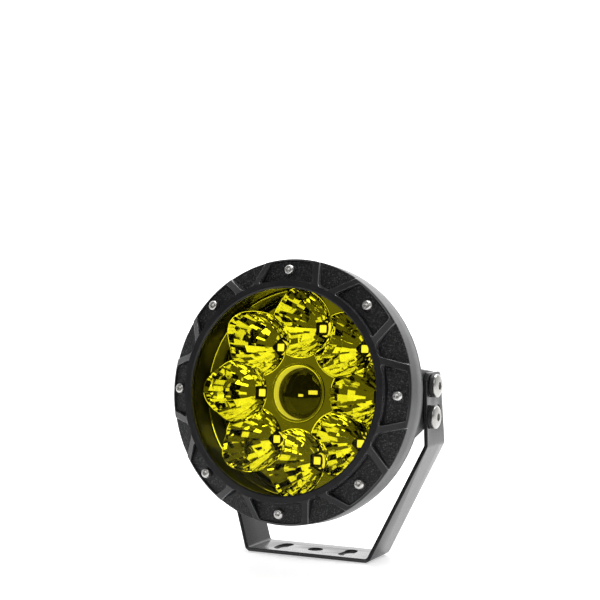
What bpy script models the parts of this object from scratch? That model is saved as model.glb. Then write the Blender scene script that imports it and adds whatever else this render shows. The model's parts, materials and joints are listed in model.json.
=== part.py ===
"""Round LED fog light on a U-shaped bracket.

The bracket stands on the XY plane with its middle mounting hole at the origin. The lamp faces -Y
and tilts about an axis along X through the two upper ear bolts. Lamp pieces are drawn in the lamp's
own frame, x to the right, y up and z forward along the optical axis, with z = 0 at the plane where
the bezel's side wall ends in front. All lengths are in metres.
"""

import math

import bmesh
import bpy
from mathutils import Matrix, Vector

# General
GAP = 0.0003
RING_STEPS = 72
ROUND_STEPS = 28
SCREW_STEPS = 12

# Bracket: bent steel strap, drawn from the front and trimmed to its side outline
STRAP = 0.0027
EAR_X = 0.0826
BASE_X = 0.0482
BEND_Z = 0.0800
EAR_TOP_Z = 0.1307
BEND_RADIUS = 0.0052
BASE_FRONT_Y = -0.0157
BASE_REAR_Y = 0.0190
EAR_FRONT_Y = 0.0021
EAR_REAR_Y = 0.0295
EAR_CHAMFER = 0.0052
BEND_FRONT_Y = 0.0054
BEND_REAR_Y = 0.0392
CENTRE_HOLE_RADIUS = 0.0054
BASE_SLOT_PITCH = 0.0262
BASE_SLOT_RADIUS = 0.0045
BASE_SLOT_HALF_ANGLE = math.radians(13)

# Tilt joint
PIVOT = Vector((0, 0.0133, 0.1215))
PIVOT_IN_LAMP = Vector((0, 0.0092, -0.0570))
HEAD_TILT = math.radians(5.7)
LOCK_DROP = 0.0215
BOLT_RADIUS = 0.0040
BOLT_HOLE_RADIUS = 0.0043
SLOT_FRONT_ANGLE = math.radians(-9)
SLOT_REAR_ANGLE = math.radians(33)
BOLT_HEAD_RADIUS = 0.0080
BOLT_HEAD_HEIGHT = 0.0026
BOLT_TIP_X = 0.0707
SOCKET_RADIUS = 0.0029
WASHER_RADIUS = 0.0080
WASHER_THICKNESS = 0.0024

# Bezel
BEZEL_RADIUS = 0.0900
BEZEL_BACK_Z = -0.0194
LIP_Z = 0.0103
OPENING_RADIUS = 0.0694
LIP_OUTER_RADIUS = 0.0745
POCKET_INNER_RADIUS = 0.0752
RIM_TOP_Z = 0.0006
RIM_INNER_RADIUS = 0.0887
FLOOR_INNER_Z = 0.0034
FLOOR_SLOPE = 0.29
PLATE_BACK_Z = -0.0031
SKIRT_INNER_RADIUS = 0.0870
LENS_POCKET_RADIUS = 0.0742
LENS_POCKET_Z = 0.0073
POCKETS = 8
POCKET_INNER_ANGLE = math.radians(14.9)
POCKET_OUTER_ANGLE = math.radians(9.7)
WEDGE_INNER_ANGLE = math.radians(2.4)
WEDGE_OUTER_ANGLE = math.radians(10.2)
CORNER_RADIUS = 0.0020
SCREW_CIRCLE = 0.0819
SCREW_HEAD_RADIUS = 0.0036
PAD_RADIUS = 0.0048
PAD_STEPS = 16
PAD_PHASE = math.radians(5)
HOLE_PHASE = math.radians(8)

# Glass and optics
LENS_RADIUS = 0.0738
LENS_FRONT_Z = 0.0070
LENS_BACK_Z = 0.0030
GASKET_INNER_RADIUS = 0.0712
COLLAR_FRONT_Z = 0.0004
REFLECTOR_RADIUS = 0.0718
REFLECTOR_Z = -0.0170
PLATE_THICKNESS = 0.0016
CUPS = 8
CUP_CIRCLE = 0.0470
CUP_RADIUS = 0.0222
CUP_WALL = 0.0010
CUP_STEPS = 20
CUP_RINGS = 4
INSIDE_PHASE = math.radians(4)
OUTSIDE_PHASE = math.radians(9.5)
CUP_BOTTOM_Z = -0.0505
LED_OPENING_RADIUS = 0.0049
PROJECTOR_RADIUS = 0.0202
PROJECTOR_BORE = 0.0180
PROJECTOR_LENS_RADIUS = 0.0176
LED_SIDE = 0.0052
LED_HEIGHT = 0.0011
BOARD_RADIUS = 0.0578
BOARD_FRONT_Z = -0.0530
BOARD_THICKNESS = 0.0016
PAD_THICKNESS = 0.0010

# Housing
FRONT_BORE = 0.0723
LEDGE_Z = -0.0190
CAVITY_RADIUS = 0.0702
REAR_CAVITY_RADIUS = 0.0585
SEAT_Z = -0.0562
FLANGE_RADIUS = 0.0895
FLANGE_BACK_Z = -0.0221
BODY_RADIUS = 0.0715
BODY_REAR_RADIUS = 0.0625
BODY_BACK_Z = -0.0625
FIN_BACK_Z = -0.0900
FIN_CIRCLE = 0.0590
FIN_BACK_CIRCLE = 0.0490
FIN_PITCH = 0.0090
FIN_THICKNESS = 0.0024
FINS_EACH_SIDE = 6
BOSS_FACE_X = EAR_X - STRAP - GAP
BOSS_TOP_Y = 0.0195
BOSS_BOTTOM_Y = -0.0210
CHAMBER_RADIUS = 0.0330
CHAMBER_WALL_RADIUS = 0.0385
CHAMBER_BACK_Z = -0.09283
CHAMBER_FLOOR_Z = -0.0620
BOSS_FRONT_Z = -0.0240
BOSS_BACK_Z = -0.0700

# Rear cover and electronics
COVER_RADIUS = 0.0385
COVER_THICKNESS = 0.0030
REAR_SEAL_THICKNESS = 0.0010
COVER_SCREW_CIRCLE = 0.0357
GLAND_AT = Vector((0, -0.0150, 0))
VENT_AT = Vector((0.0140, 0.0140, 0))
DRIVER_Z = -0.0740


# ---------------------------------------------------------------- helpers


def new_collection(name):
    """Make a collection in the scene."""
    group = bpy.data.collections.new(name)
    bpy.context.scene.collection.children.link(group)
    return group


def make_material(name, colour, roughness, metallic, alpha=1.0):
    """Make a Principled material."""
    made = bpy.data.materials.new(name)
    made.use_nodes = True
    shader = made.node_tree.nodes["Principled BSDF"]
    shader.inputs["Base Color"].default_value = (*colour, 1)
    shader.inputs["Roughness"].default_value = roughness
    shader.inputs["Metallic"].default_value = metallic
    shader.inputs["Alpha"].default_value = alpha
    return made


def add_object(name, mesh, finish=None, smooth_angle=None):
    """Link a mesh as a part, with its material and shading."""
    made = bpy.data.objects.new(name, mesh)
    PARTS.objects.link(made)
    if finish:
        mesh.materials.append(finish)
    if smooth_angle is not None:
        mesh.shade_smooth()
        mesh.set_sharp_from_angle(angle=math.radians(smooth_angle))
    return made


def polar(radius, angle):
    """A point at an angle measured clockwise from straight up."""
    return (radius * math.sin(angle), radius * math.cos(angle))


def arc(centre, radius, start, end, count):
    """Points of an arc, with angles measured counter-clockwise from +x."""
    points = []
    for step in range(count + 1):
        angle = start + (end - start) * step / count
        points.append((centre[0] + radius * math.cos(angle), centre[1] + radius * math.sin(angle)))
    return points


def circle(centre, radius, count):
    """Points of a full circle."""
    return arc(centre, radius, 0, 2 * math.pi * (count - 1) / count, count - 1)


def rounded(corners, radii, count=4):
    """Round each corner of a polygon with an arc that meets both its sides."""
    points = []
    for place, corner in enumerate(corners):
        here = Vector(corner)
        before = (Vector(corners[place - 1]) - here).normalized()
        after = (Vector(corners[(place + 1) % len(corners)]) - here).normalized()
        radius = radii[place]
        if radius == 0:
            points.append(tuple(here))
            continue
        half = before.angle(after) / 2
        centre = here + (before + after).normalized() * radius / math.sin(half)
        first = here + before * radius / math.tan(half) - centre
        last = here + after * radius / math.tan(half) - centre
        turn = math.atan2(first.x * last.y - first.y * last.x, first.dot(last))
        for step in range(count + 1):
            spoke = Matrix.Rotation(turn * step / count, 2) @ first
            points.append(tuple(centre + spoke))
    return points


def closed_mesh(made, weld=0.000002):
    """Replace an object's modifiers or curve by a mesh with welded, outward-facing sides."""
    bpy.context.view_layer.update()
    graph = bpy.context.evaluated_depsgraph_get()
    mesh = bpy.data.meshes.new_from_object(made.evaluated_get(graph))
    matrix = made.matrix_world.copy()
    bpy.data.objects.remove(made)
    work = bmesh.new()
    work.from_mesh(mesh)
    bmesh.ops.remove_doubles(work, verts=work.verts, dist=weld)
    bmesh.ops.recalc_face_normals(work, faces=work.faces)
    work.to_mesh(mesh)
    work.free()
    mesh.transform(matrix)
    return mesh


def plate_mesh(name, loops, low, high):
    """An outline with optional holes, given as lists of points, extruded from low to high in z."""
    shape = bpy.data.curves.new(name, "CURVE")
    shape.dimensions = "2D"
    shape.fill_mode = "BOTH"
    shape.extrude = (high - low) / 2
    for points in loops:
        spline = shape.splines.new("POLY")
        spline.points.add(len(points) - 1)
        for point, place in zip(spline.points, points):
            point.co = (place[0], place[1], 0, 1)
        spline.use_cyclic_u = True
    made = bpy.data.objects.new(name, shape)
    made.location.z = (high + low) / 2
    bpy.context.scene.collection.objects.link(made)
    return closed_mesh(made)


def turned_mesh(name, profile, steps, ring=False):
    """A profile of (radius, z) points turned about z; a ring's profile closes on itself."""
    mesh = bpy.data.meshes.new(name)
    count = len(profile)
    edges = [(k, k + 1) for k in range(count - 1)]
    if ring:
        edges.append((count - 1, 0))
    mesh.from_pydata([(r, 0, z) for r, z in profile], edges, [])
    made = bpy.data.objects.new(name, mesh)
    bpy.context.scene.collection.objects.link(made)
    screw = made.modifiers.new("turn", "SCREW")
    screw.steps = steps
    screw.render_steps = steps
    screw.use_merge_vertices = True
    screw.merge_threshold = 0.00001
    return closed_mesh(made)


def box_mesh(name, low, high):
    """A box between two corners."""
    size = Vector(high) - Vector(low)
    middle = (Vector(high) + Vector(low)) / 2
    work = bmesh.new()
    bmesh.ops.create_cube(work, size=1)
    bmesh.ops.scale(work, vec=size, verts=work.verts)
    bmesh.ops.translate(work, vec=middle, verts=work.verts)
    mesh = bpy.data.meshes.new(name)
    work.to_mesh(mesh)
    work.free()
    return mesh


def rod_mesh(name, radius, low, high, steps, turn=0.0):
    """A cylinder, or a prism with few sides, along z."""
    work = bmesh.new()
    bmesh.ops.create_cone(work, cap_ends=True, segments=steps, radius1=radius, radius2=radius,
                          depth=high - low)
    bmesh.ops.rotate(work, verts=work.verts, matrix=Matrix.Rotation(turn, 3, "Z"))
    bmesh.ops.translate(work, vec=(0, 0, (low + high) / 2), verts=work.verts)
    mesh = bpy.data.meshes.new(name)
    work.to_mesh(mesh)
    work.free()
    return mesh


def moved(mesh, place, turn=None):
    """Move a mesh, after turning it by an optional matrix."""
    if turn is not None:
        mesh.transform(turn)
    mesh.transform(Matrix.Translation(place))
    return mesh


def joined(name, meshes):
    """Put several meshes into one; they stay separate bodies."""
    work = bmesh.new()
    for mesh in meshes:
        work.from_mesh(mesh)
        bpy.data.meshes.remove(mesh)
    mesh = bpy.data.meshes.new(name)
    work.to_mesh(mesh)
    work.free()
    return mesh


def combined(name, mesh, others):
    """Apply Booleans to a mesh, given as (operation, mesh) pairs, and return the result."""
    made = bpy.data.objects.new(name, mesh)
    bpy.context.scene.collection.objects.link(made)
    tools = []
    for operation, other in others:
        tool = bpy.data.objects.new(name + "_tool", other)
        CUTTERS.objects.link(tool)
        tool.hide_render = True
        tool.display_type = "WIRE"
        change = made.modifiers.new(operation.lower(), "BOOLEAN")
        change.operation = operation
        change.solver = "EXACT"
        change.object = tool
        tools.append(tool)
    result = closed_mesh(made, 0.0000001)
    for tool in tools:
        bpy.data.objects.remove(tool)
    return result


def around(mesh, count, start=0.0):
    """Copies of a mesh turned about z in equal steps, as one mesh."""
    copies = []
    for place in range(count):
        copy = mesh.copy()
        copy.transform(Matrix.Rotation(-(start + 2 * math.pi * place / count), 4, "Z"))
        copies.append(copy)
    bpy.data.meshes.remove(mesh)
    return joined("around", copies)


def in_lamp(made, place=(0, 0, 0), turn=0.0):
    """Place a part in the lamp's frame, on the parent that lies on the tilt axis."""
    made.parent = TILT_AXIS
    made.location = Vector(place) - PIVOT_IN_LAMP
    made.rotation_euler.z = turn
    return made


# ---------------------------------------------------------------- bracket


def strap_outline():
    """The strap seen from the front, as a closed outline of x and z."""
    lean = math.atan2(BEND_Z, EAR_X - BASE_X)
    base_shift = STRAP * math.tan(lean / 2)
    ear_shift = STRAP * math.tan((math.pi / 2 - lean) / 2)
    outer = [(BASE_X, 0), (EAR_X, BEND_Z), (EAR_X, EAR_TOP_Z)]
    inner = [
        (EAR_X - STRAP, EAR_TOP_Z),
        (EAR_X - STRAP, BEND_Z + ear_shift),
        (BASE_X - base_shift, STRAP),
    ]
    right = outer + inner
    left = [(-x, z) for x, z in reversed(right)]
    inner_radius = BEND_RADIUS - STRAP
    half = [BEND_RADIUS, BEND_RADIUS, 0, 0, inner_radius, inner_radius]
    return rounded(right + left, half + half[::-1])


def side_outline():
    """The strap seen from the side, as y and z: shallow base, legs that lean back, tapered ears."""
    corners = [
        (BASE_FRONT_Y, -0.001),
        (BASE_REAR_Y, -0.001),
        (BASE_REAR_Y, 0.001),
        (BEND_REAR_Y, BEND_Z),
        (EAR_REAR_Y, EAR_TOP_Z),
        (EAR_FRONT_Y + EAR_CHAMFER, EAR_TOP_Z),
        (EAR_FRONT_Y, EAR_TOP_Z - EAR_CHAMFER),
        (BEND_FRONT_Y, BEND_Z),
        (BASE_FRONT_Y, 0.001),
    ]
    return rounded(corners, [0, 0, 0.003, 0.010, 0.005, 0.002, 0.002, 0.010, 0.003])


def arc_slot(centre, pitch, half_width, start, end, count=6):
    """A slot along an arc with round ends; angles run counter-clockwise from +x."""
    tip_start = (centre[0] + pitch * math.cos(start), centre[1] + pitch * math.sin(start))
    tip_end = (centre[0] + pitch * math.cos(end), centre[1] + pitch * math.sin(end))
    outer = arc(centre, pitch + half_width, start, end, count)
    cap_end = arc(tip_end, half_width, end, end + math.pi, count)[1:-1]
    inner = arc(centre, pitch - half_width, end, start, count)
    cap_start = arc(tip_start, half_width, start + math.pi, start + 2 * math.pi, count)[1:-1]
    return outer + cap_end + inner + cap_start


def build_bracket():
    """The U bracket with its mounting slots, pivot holes and tilt slots."""
    upright = Matrix.Rotation(math.pi / 2, 4, "X")
    strap = plate_mesh("strap", [strap_outline()], -0.03, 0.03)
    strap.transform(Matrix.Translation((0, 0.012, 0)) @ upright)
    sideways = Matrix(((0, 0, 1, 0), (1, 0, 0, 0), (0, 1, 0, 0), (0, 0, 0, 1)))
    side = plate_mesh("side", [side_outline()], -0.1, 0.1)
    side.transform(sideways)
    down = -math.pi / 2
    ear_holes = plate_mesh("ear_holes", [
        circle((PIVOT.y, PIVOT.z), BOLT_HOLE_RADIUS, 24),
    ], -0.1, 0.1)
    ear_slots = plate_mesh("ear_slots", [
        arc_slot((PIVOT.y, PIVOT.z), LOCK_DROP, BOLT_HOLE_RADIUS,
                 down + SLOT_FRONT_ANGLE, down + SLOT_REAR_ANGLE, 8),
    ], -0.1, 0.1)
    ear_cut = joined("ear_cut", [ear_holes, ear_slots])
    ear_cut.transform(sideways)
    base_cuts = [plate_mesh("hole", [circle((0, 0), CENTRE_HOLE_RADIUS, 24)], -0.01, 0.01)]
    for side_angle in (0, math.pi):
        slot = arc_slot((0, 0), BASE_SLOT_PITCH, BASE_SLOT_RADIUS,
                        side_angle - BASE_SLOT_HALF_ANGLE, side_angle + BASE_SLOT_HALF_ANGLE, 6)
        base_cuts.append(plate_mesh("slot", [slot], -0.01, 0.01))
    base_cut = joined("base_cut", base_cuts)
    mesh = combined("bracket", strap, [
        ("INTERSECT", side),
        ("DIFFERENCE", ear_cut),
        ("DIFFERENCE", base_cut),
    ])
    return add_object("bracket", mesh, BLACK_STEEL, 30)


# ---------------------------------------------------------------- fasteners


def screw_mesh(name, head_radius, head_height, shank_radius, length, socket_radius, steps):
    """A domed screw along z with a hex socket; z = 0 is under its head."""
    dome = []
    for step in range(3):
        angle = math.pi / 2 * (1 - step / 2)
        dome.append((socket_radius * 1.25 + (head_radius - socket_radius * 1.25) * math.cos(angle),
                     head_height * (0.45 + 0.55 * math.sin(angle))))
    profile = [(0, head_height)] + dome + [
        (head_radius, 0),
        (shank_radius, 0),
        (shank_radius, -length + shank_radius * 0.3),
        (shank_radius * 0.7, -length),
        (0, -length),
    ]
    body = turned_mesh(name, profile, steps)
    socket = rod_mesh("socket", socket_radius, head_height * 0.4, head_height * 2, 6)
    return combined(name, body, [("DIFFERENCE", socket)])


def build_ear_bolts():
    """Two stainless bolts a side, each on a black washer: the pivot and the lock below it."""
    length = EAR_X + WASHER_THICKNESS + 2 * GAP - BOLT_TIP_X
    bolt = screw_mesh("ear_bolt", BOLT_HEAD_RADIUS, BOLT_HEAD_HEIGHT, BOLT_RADIUS, length,
                      SOCKET_RADIUS, 24)
    washer = turned_mesh("ear_washer", [
        (WASHER_RADIUS, WASHER_THICKNESS),
        (WASHER_RADIUS, 0),
        (BOLT_HOLE_RADIUS, 0),
        (BOLT_HOLE_RADIUS, WASHER_THICKNESS),
    ], 24, ring=True)
    for side, side_name in ((1, "right"), (-1, "left")):
        outward = Matrix.Rotation(side * math.pi / 2, 4, "Y")
        for role, drop in (("pivot", 0), ("lock", LOCK_DROP)):
            at = PIVOT_IN_LAMP + Vector((side * (EAR_X + GAP), -drop, 0))
            ring = moved(washer.copy(), (0, 0, 0), outward)
            in_lamp(add_object(f"{role}_washer_{side_name}", ring, BLACK_NYLON, 35), at)
            at = at + Vector((side * (WASHER_THICKNESS + GAP), 0, 0))
            body = moved(bolt.copy(), (0, 0, 0), outward)
            in_lamp(add_object(f"{role}_bolt_{side_name}", body, STAINLESS, 35), at)


def build_bezel_screws():
    """Eight small domed screws that hold the bezel on the housing."""
    mesh = screw_mesh("bezel_screw", SCREW_HEAD_RADIUS, 0.0040, 0.0020, 0.0125, 0.0016, SCREW_STEPS)
    for place in range(POCKETS):
        angle = 2 * math.pi * place / POCKETS
        x, y = polar(SCREW_CIRCLE, angle)
        made = add_object(f"bezel_screw_{place + 1}", mesh.copy(), STAINLESS, 35)
        in_lamp(made, (x, y, screw_seat_z()))


# ---------------------------------------------------------------- bezel


def floor_z(radius):
    """Height of the cone that the pocket floors lie on."""
    return FLOOR_INNER_Z - FLOOR_SLOPE * (radius - POCKET_INNER_RADIUS)


def screw_seat_z():
    """Height of the flat spot under a bezel screw's head."""
    return floor_z(SCREW_CIRCLE) + GAP


def pocket_cutters():
    """Eight trapezoid pockets at the screws and eight wedge pockets between them."""
    inner = LIP_OUTER_RADIUS - 0.0015
    trapezoid = [
        polar(inner, -POCKET_INNER_ANGLE),
        polar(RIM_INNER_RADIUS, -POCKET_OUTER_ANGLE),
        polar(RIM_INNER_RADIUS, POCKET_OUTER_ANGLE),
        polar(inner, POCKET_INNER_ANGLE),
    ]
    outside = BEZEL_RADIUS + 0.003
    wedge = [
        polar(inner, -WEDGE_INNER_ANGLE),
        polar(outside, -WEDGE_OUTER_ANGLE - math.radians(1.6)),
        polar(outside, WEDGE_OUTER_ANGLE + math.radians(1.6)),
        polar(inner, WEDGE_INNER_ANGLE),
    ]
    radii = [CORNER_RADIUS] * 4
    top = LIP_Z + 0.002
    low = floor_z(BEZEL_RADIUS + 0.004)
    pockets = around(plate_mesh("pocket", [rounded(trapezoid, radii, 3)], low, top), POCKETS)
    wedges = around(plate_mesh("wedge", [rounded(wedge, [0.0025, 0, 0, 0.0025], 3)], low, top),
                    POCKETS, math.pi / POCKETS)
    return joined("pockets", [pockets, wedges])


def build_bezel():
    """Die-cast front ring: proud inner lip, zigzag ribs, pockets and a deep side wall."""
    profile = [
        (OPENING_RADIUS + 0.0008, LIP_Z),
        (LIP_OUTER_RADIUS, LIP_Z),
        (BEZEL_RADIUS - 0.0008, RIM_TOP_Z),
        (BEZEL_RADIUS, RIM_TOP_Z - 0.0009),
        (BEZEL_RADIUS, BEZEL_BACK_Z + 0.0004),
        (BEZEL_RADIUS - 0.0004, BEZEL_BACK_Z),
        (SKIRT_INNER_RADIUS, BEZEL_BACK_Z),
        (SKIRT_INNER_RADIUS, PLATE_BACK_Z),
        (LENS_POCKET_RADIUS, PLATE_BACK_Z),
        (LENS_POCKET_RADIUS, LENS_POCKET_Z),
        (OPENING_RADIUS, LENS_POCKET_Z),
        (OPENING_RADIUS, LIP_Z - 0.0008),
    ]
    ring = turned_mesh("bezel", profile, RING_STEPS, ring=True)
    kept = turned_mesh("kept", [
        (0, LIP_Z + 0.010),
        (LIP_OUTER_RADIUS, LIP_Z + 0.010),
        (LIP_OUTER_RADIUS, LIP_Z - 0.0005),
        (POCKET_INNER_RADIUS, floor_z(POCKET_INNER_RADIUS)),
        (BEZEL_RADIUS + 0.010, floor_z(BEZEL_RADIUS + 0.010)),
        (BEZEL_RADIUS + 0.010, -0.010),
        (0, -0.010),
    ], RING_STEPS)
    pockets = combined("pockets", pocket_cutters(), [("DIFFERENCE", kept)])
    hole = turned_mesh("screw_hole", [
        (0, LIP_Z),
        (SCREW_HEAD_RADIUS + 0.0005, LIP_Z),
        (SCREW_HEAD_RADIUS + 0.0005, screw_seat_z() - GAP),
        (0.0023, screw_seat_z() - GAP),
        (0.0023, -0.010),
        (0, -0.010),
    ], SCREW_STEPS)
    hole = moved(hole, (0, SCREW_CIRCLE, 0), Matrix.Rotation(HOLE_PHASE, 4, "Z"))
    pad = rod_mesh("pad", PAD_RADIUS, PLATE_BACK_Z + 0.001, screw_seat_z() + 0.0002, PAD_STEPS, PAD_PHASE)
    mesh = combined("bezel", ring, [
        ("DIFFERENCE", pockets),
        ("UNION", around(moved(pad, (0, SCREW_CIRCLE, 0)), POCKETS)),
        ("DIFFERENCE", around(hole, POCKETS)),
    ])
    return in_lamp(add_object("bezel", mesh, BLACK_CAST, 35))


# ---------------------------------------------------------------- optics


def build_lens():
    """The flat yellow lens and the seal behind it."""
    lens = turned_mesh("lens", [
        (0, LENS_FRONT_Z),
        (LENS_RADIUS - 0.0005, LENS_FRONT_Z),
        (LENS_RADIUS, LENS_FRONT_Z - 0.0005),
        (LENS_RADIUS, LENS_BACK_Z),
        (0, LENS_BACK_Z),
    ], RING_STEPS)
    in_lamp(add_object("lens", lens, YELLOW_LENS, 35))
    seal = turned_mesh("lens_gasket", [
        (LENS_RADIUS, LENS_BACK_Z - GAP),
        (LENS_RADIUS, COLLAR_FRONT_Z + GAP),
        (GASKET_INNER_RADIUS, COLLAR_FRONT_Z + GAP),
        (GASKET_INNER_RADIUS, LENS_BACK_Z - GAP),
    ], RING_STEPS, ring=True)
    in_lamp(add_object("lens_gasket", seal, BLACK_RUBBER, 35))


def cup_profile(extra, top_z, bottom_z):
    """A parabolic cup's profile, widened by extra all over and closed to its axis at both ends."""
    depth = REFLECTOR_Z - CUP_BOTTOM_Z
    opening_share = LED_OPENING_RADIUS / CUP_RADIUS
    points = [(0, top_z), (CUP_RADIUS + extra, top_z)]
    for step in range(1, CUP_RINGS):
        share = 1 + (opening_share - 1) * step / (CUP_RINGS - 1)
        points.append((CUP_RADIUS * share + extra, CUP_BOTTOM_Z + depth * share ** 2))
    return points + [(points[-1][0], bottom_z), (0, bottom_z)]


def all_cups(profile, phase):
    """Eight cups of one profile, each turned by phase on its axis, united where they meet."""
    cups = []
    for place in range(CUPS):
        angle = 2 * math.pi * place / CUPS
        x, y = polar(CUP_CIRCLE, angle)
        cup = turned_mesh("cup", profile, CUP_STEPS)
        cups.append(moved(cup, (x, y, 0), Matrix.Rotation(phase - angle, 4, "Z")))
    return combined("cups", cups[0], [("UNION", cup) for cup in cups[1:]])


def build_reflector():
    """Eight parabolic cups sunk into one bright plate around the projector opening."""
    plate = rod_mesh("plate", REFLECTOR_RADIUS, REFLECTOR_Z - PLATE_THICKNESS, REFLECTOR_Z,
                     RING_STEPS)
    outside = all_cups(cup_profile(CUP_WALL, REFLECTOR_Z - GAP, CUP_BOTTOM_Z), OUTSIDE_PHASE)
    inside = all_cups(cup_profile(0, REFLECTOR_Z + 0.001, CUP_BOTTOM_Z - 0.001), INSIDE_PHASE)
    bore = rod_mesh("bore", PROJECTOR_RADIUS + GAP, -0.06, 0.01, ROUND_STEPS)
    mesh = combined("reflector", plate, [
        ("UNION", outside),
        ("DIFFERENCE", inside),
        ("DIFFERENCE", bore),
    ])
    return in_lamp(add_object("reflector", mesh, BRIGHT_REFLECTOR, 35))


def build_projector():
    """The middle projector: a barrel on the board that holds a thick lens by a front ring."""
    barrel = turned_mesh("projector_barrel", [
        (PROJECTOR_RADIUS, REFLECTOR_Z + 0.0012),
        (PROJECTOR_RADIUS, BOARD_FRONT_Z + GAP),
        (PROJECTOR_BORE - 0.0030, BOARD_FRONT_Z + GAP),
        (PROJECTOR_BORE - 0.0030, -0.0300),
        (PROJECTOR_BORE, -0.0300),
        (PROJECTOR_BORE, REFLECTOR_Z - 0.0005),
        (PROJECTOR_RADIUS - 0.0005, REFLECTOR_Z + 0.0012),
    ], ROUND_STEPS, ring=True)
    in_lamp(add_object("projector_barrel", barrel, BLACK_PLASTIC, 35))
    dome = []
    for step in range(5):
        angle = math.pi / 2 * (1 - step / 4)
        dome.append((PROJECTOR_LENS_RADIUS * math.cos(angle), -0.0262 + 0.0080 * math.sin(angle)))
    profile = dome + [(PROJECTOR_LENS_RADIUS, -0.0296), (0, -0.0296)]
    lens = turned_mesh("projector_lens", profile, ROUND_STEPS)
    in_lamp(add_object("projector_lens", lens, CLEAR_GLASS, 35))


def build_lights():
    """The round board with eight cup emitters and one in the middle, on a thermal pad."""
    board = rod_mesh("led_board", BOARD_RADIUS, BOARD_FRONT_Z - BOARD_THICKNESS, BOARD_FRONT_Z,
                     RING_STEPS)
    in_lamp(add_object("led_board", board, BOARD_GREEN, 35))
    emitter = box_mesh("led", (-LED_SIDE / 2, -LED_SIDE / 2, 0), (LED_SIDE / 2, LED_SIDE / 2,
                                                                LED_HEIGHT))
    for place in range(CUPS):
        x, y = polar(CUP_CIRCLE, 2 * math.pi * place / CUPS)
        made = add_object(f"led_{place + 1}", emitter.copy(), LED_YELLOW)
        in_lamp(made, (x, y, BOARD_FRONT_Z + GAP))
    in_lamp(add_object("led_centre", emitter.copy(), LED_YELLOW), (0, 0, BOARD_FRONT_Z + GAP))
    pad_top = BOARD_FRONT_Z - BOARD_THICKNESS - GAP
    pad = rod_mesh("thermal_pad", BOARD_RADIUS - 0.001, pad_top - PAD_THICKNESS, pad_top,
                   ROUND_STEPS * 2)
    wire_way = rod_mesh("wire_way", 0.0045, -0.1, 0.1, SCREW_STEPS)
    wire_way = moved(wire_way, (0.024, 0, 0))
    pad = combined("thermal_pad", pad, [("DIFFERENCE", wire_way)])
    in_lamp(add_object("thermal_pad", pad, GREY_RUBBER, 35))


# ---------------------------------------------------------------- housing


def boss_mesh(side):
    """A side boss: a block with a sloping underside, cut away towards its lower rear corner."""
    front = plate_mesh("boss", [[
        (side * 0.050, BOSS_BOTTOM_Y - 0.013),
        (side * 0.0700, BOSS_BOTTOM_Y - 0.008),
        (side * BOSS_FACE_X, BOSS_BOTTOM_Y),
        (side * BOSS_FACE_X, BOSS_TOP_Y - 0.001),
        (side * (BOSS_FACE_X - 0.001), BOSS_TOP_Y),
        (side * 0.050, BOSS_TOP_Y + 0.003),
    ]], BOSS_BACK_Z, BOSS_FRONT_Z)
    profile = plate_mesh("profile", [[
        (-BOSS_FRONT_Z - 0.002, 0.030),
        (-BOSS_BACK_Z + 0.002, 0.030),
        (-BOSS_BACK_Z + 0.002, -0.0145),
        (-BOSS_BACK_Z - 0.018, BOSS_BOTTOM_Y - 0.0015),
        (-BOSS_BACK_Z - 0.030, BOSS_BOTTOM_Y - 0.020),
        (-BOSS_FRONT_Z - 0.002, BOSS_BOTTOM_Y - 0.020),
    ]], -0.1, 0.1)
    profile.transform(Matrix.Rotation(math.pi / 2, 4, "Y"))
    return combined("boss", front, [("INTERSECT", profile)])


def fin_mesh():
    """Upright cooling fins behind the body, cut to a circle and cleared around the chamber."""
    fins = []
    for place in range(-FINS_EACH_SIDE, FINS_EACH_SIDE + 1):
        x = place * FIN_PITCH
        reach = math.sqrt(FIN_CIRCLE ** 2 - (abs(x) + FIN_THICKNESS / 2) ** 2)
        fins.append(box_mesh("fin", (x - FIN_THICKNESS / 2, -reach, FIN_BACK_Z),
                             (x + FIN_THICKNESS / 2, reach, BODY_BACK_Z + 0.001)))
    around_chamber = turned_mesh("around_chamber", [
        (0, BODY_BACK_Z - 0.001),
        (CHAMBER_WALL_RADIUS - 0.001, BODY_BACK_Z - 0.001),
        (CHAMBER_WALL_RADIUS - 0.001, CHAMBER_BACK_Z + 0.0005),
        (CHAMBER_WALL_RADIUS + 0.001, CHAMBER_BACK_Z + 0.0005),
        (CHAMBER_WALL_RADIUS + 0.001, -0.120),
        (0, -0.120),
    ], ROUND_STEPS * 2)
    taper = turned_mesh("taper", [
        (FIN_CIRCLE + 0.004, -0.050),
        (FIN_CIRCLE + 0.004, -0.068),
        (FIN_BACK_CIRCLE, FIN_BACK_Z - 0.002),
        (0, FIN_BACK_Z - 0.002),
        (0, -0.050),
    ][::-1], RING_STEPS)
    return combined("fins", joined("fins", fins), [
        ("DIFFERENCE", around_chamber),
        ("INTERSECT", taper),
    ])


def housing_hollow():
    """The space inside the housing: the lamp cavity in front and the driver chamber behind."""
    cavity = turned_mesh("cavity", [
        (0, 0.010),
        (FRONT_BORE, 0.010),
        (FRONT_BORE, LEDGE_Z),
        (CAVITY_RADIUS, LEDGE_Z),
        (CAVITY_RADIUS, -0.0220),
        (REAR_CAVITY_RADIUS, -0.0540),
        (REAR_CAVITY_RADIUS, SEAT_Z),
        (0, SEAT_Z),
    ], RING_STEPS)
    chamber = rod_mesh("chamber", CHAMBER_RADIUS, -0.120, CHAMBER_FLOOR_Z, ROUND_STEPS * 2)
    return joined("hollow", [cavity, chamber])


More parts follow.
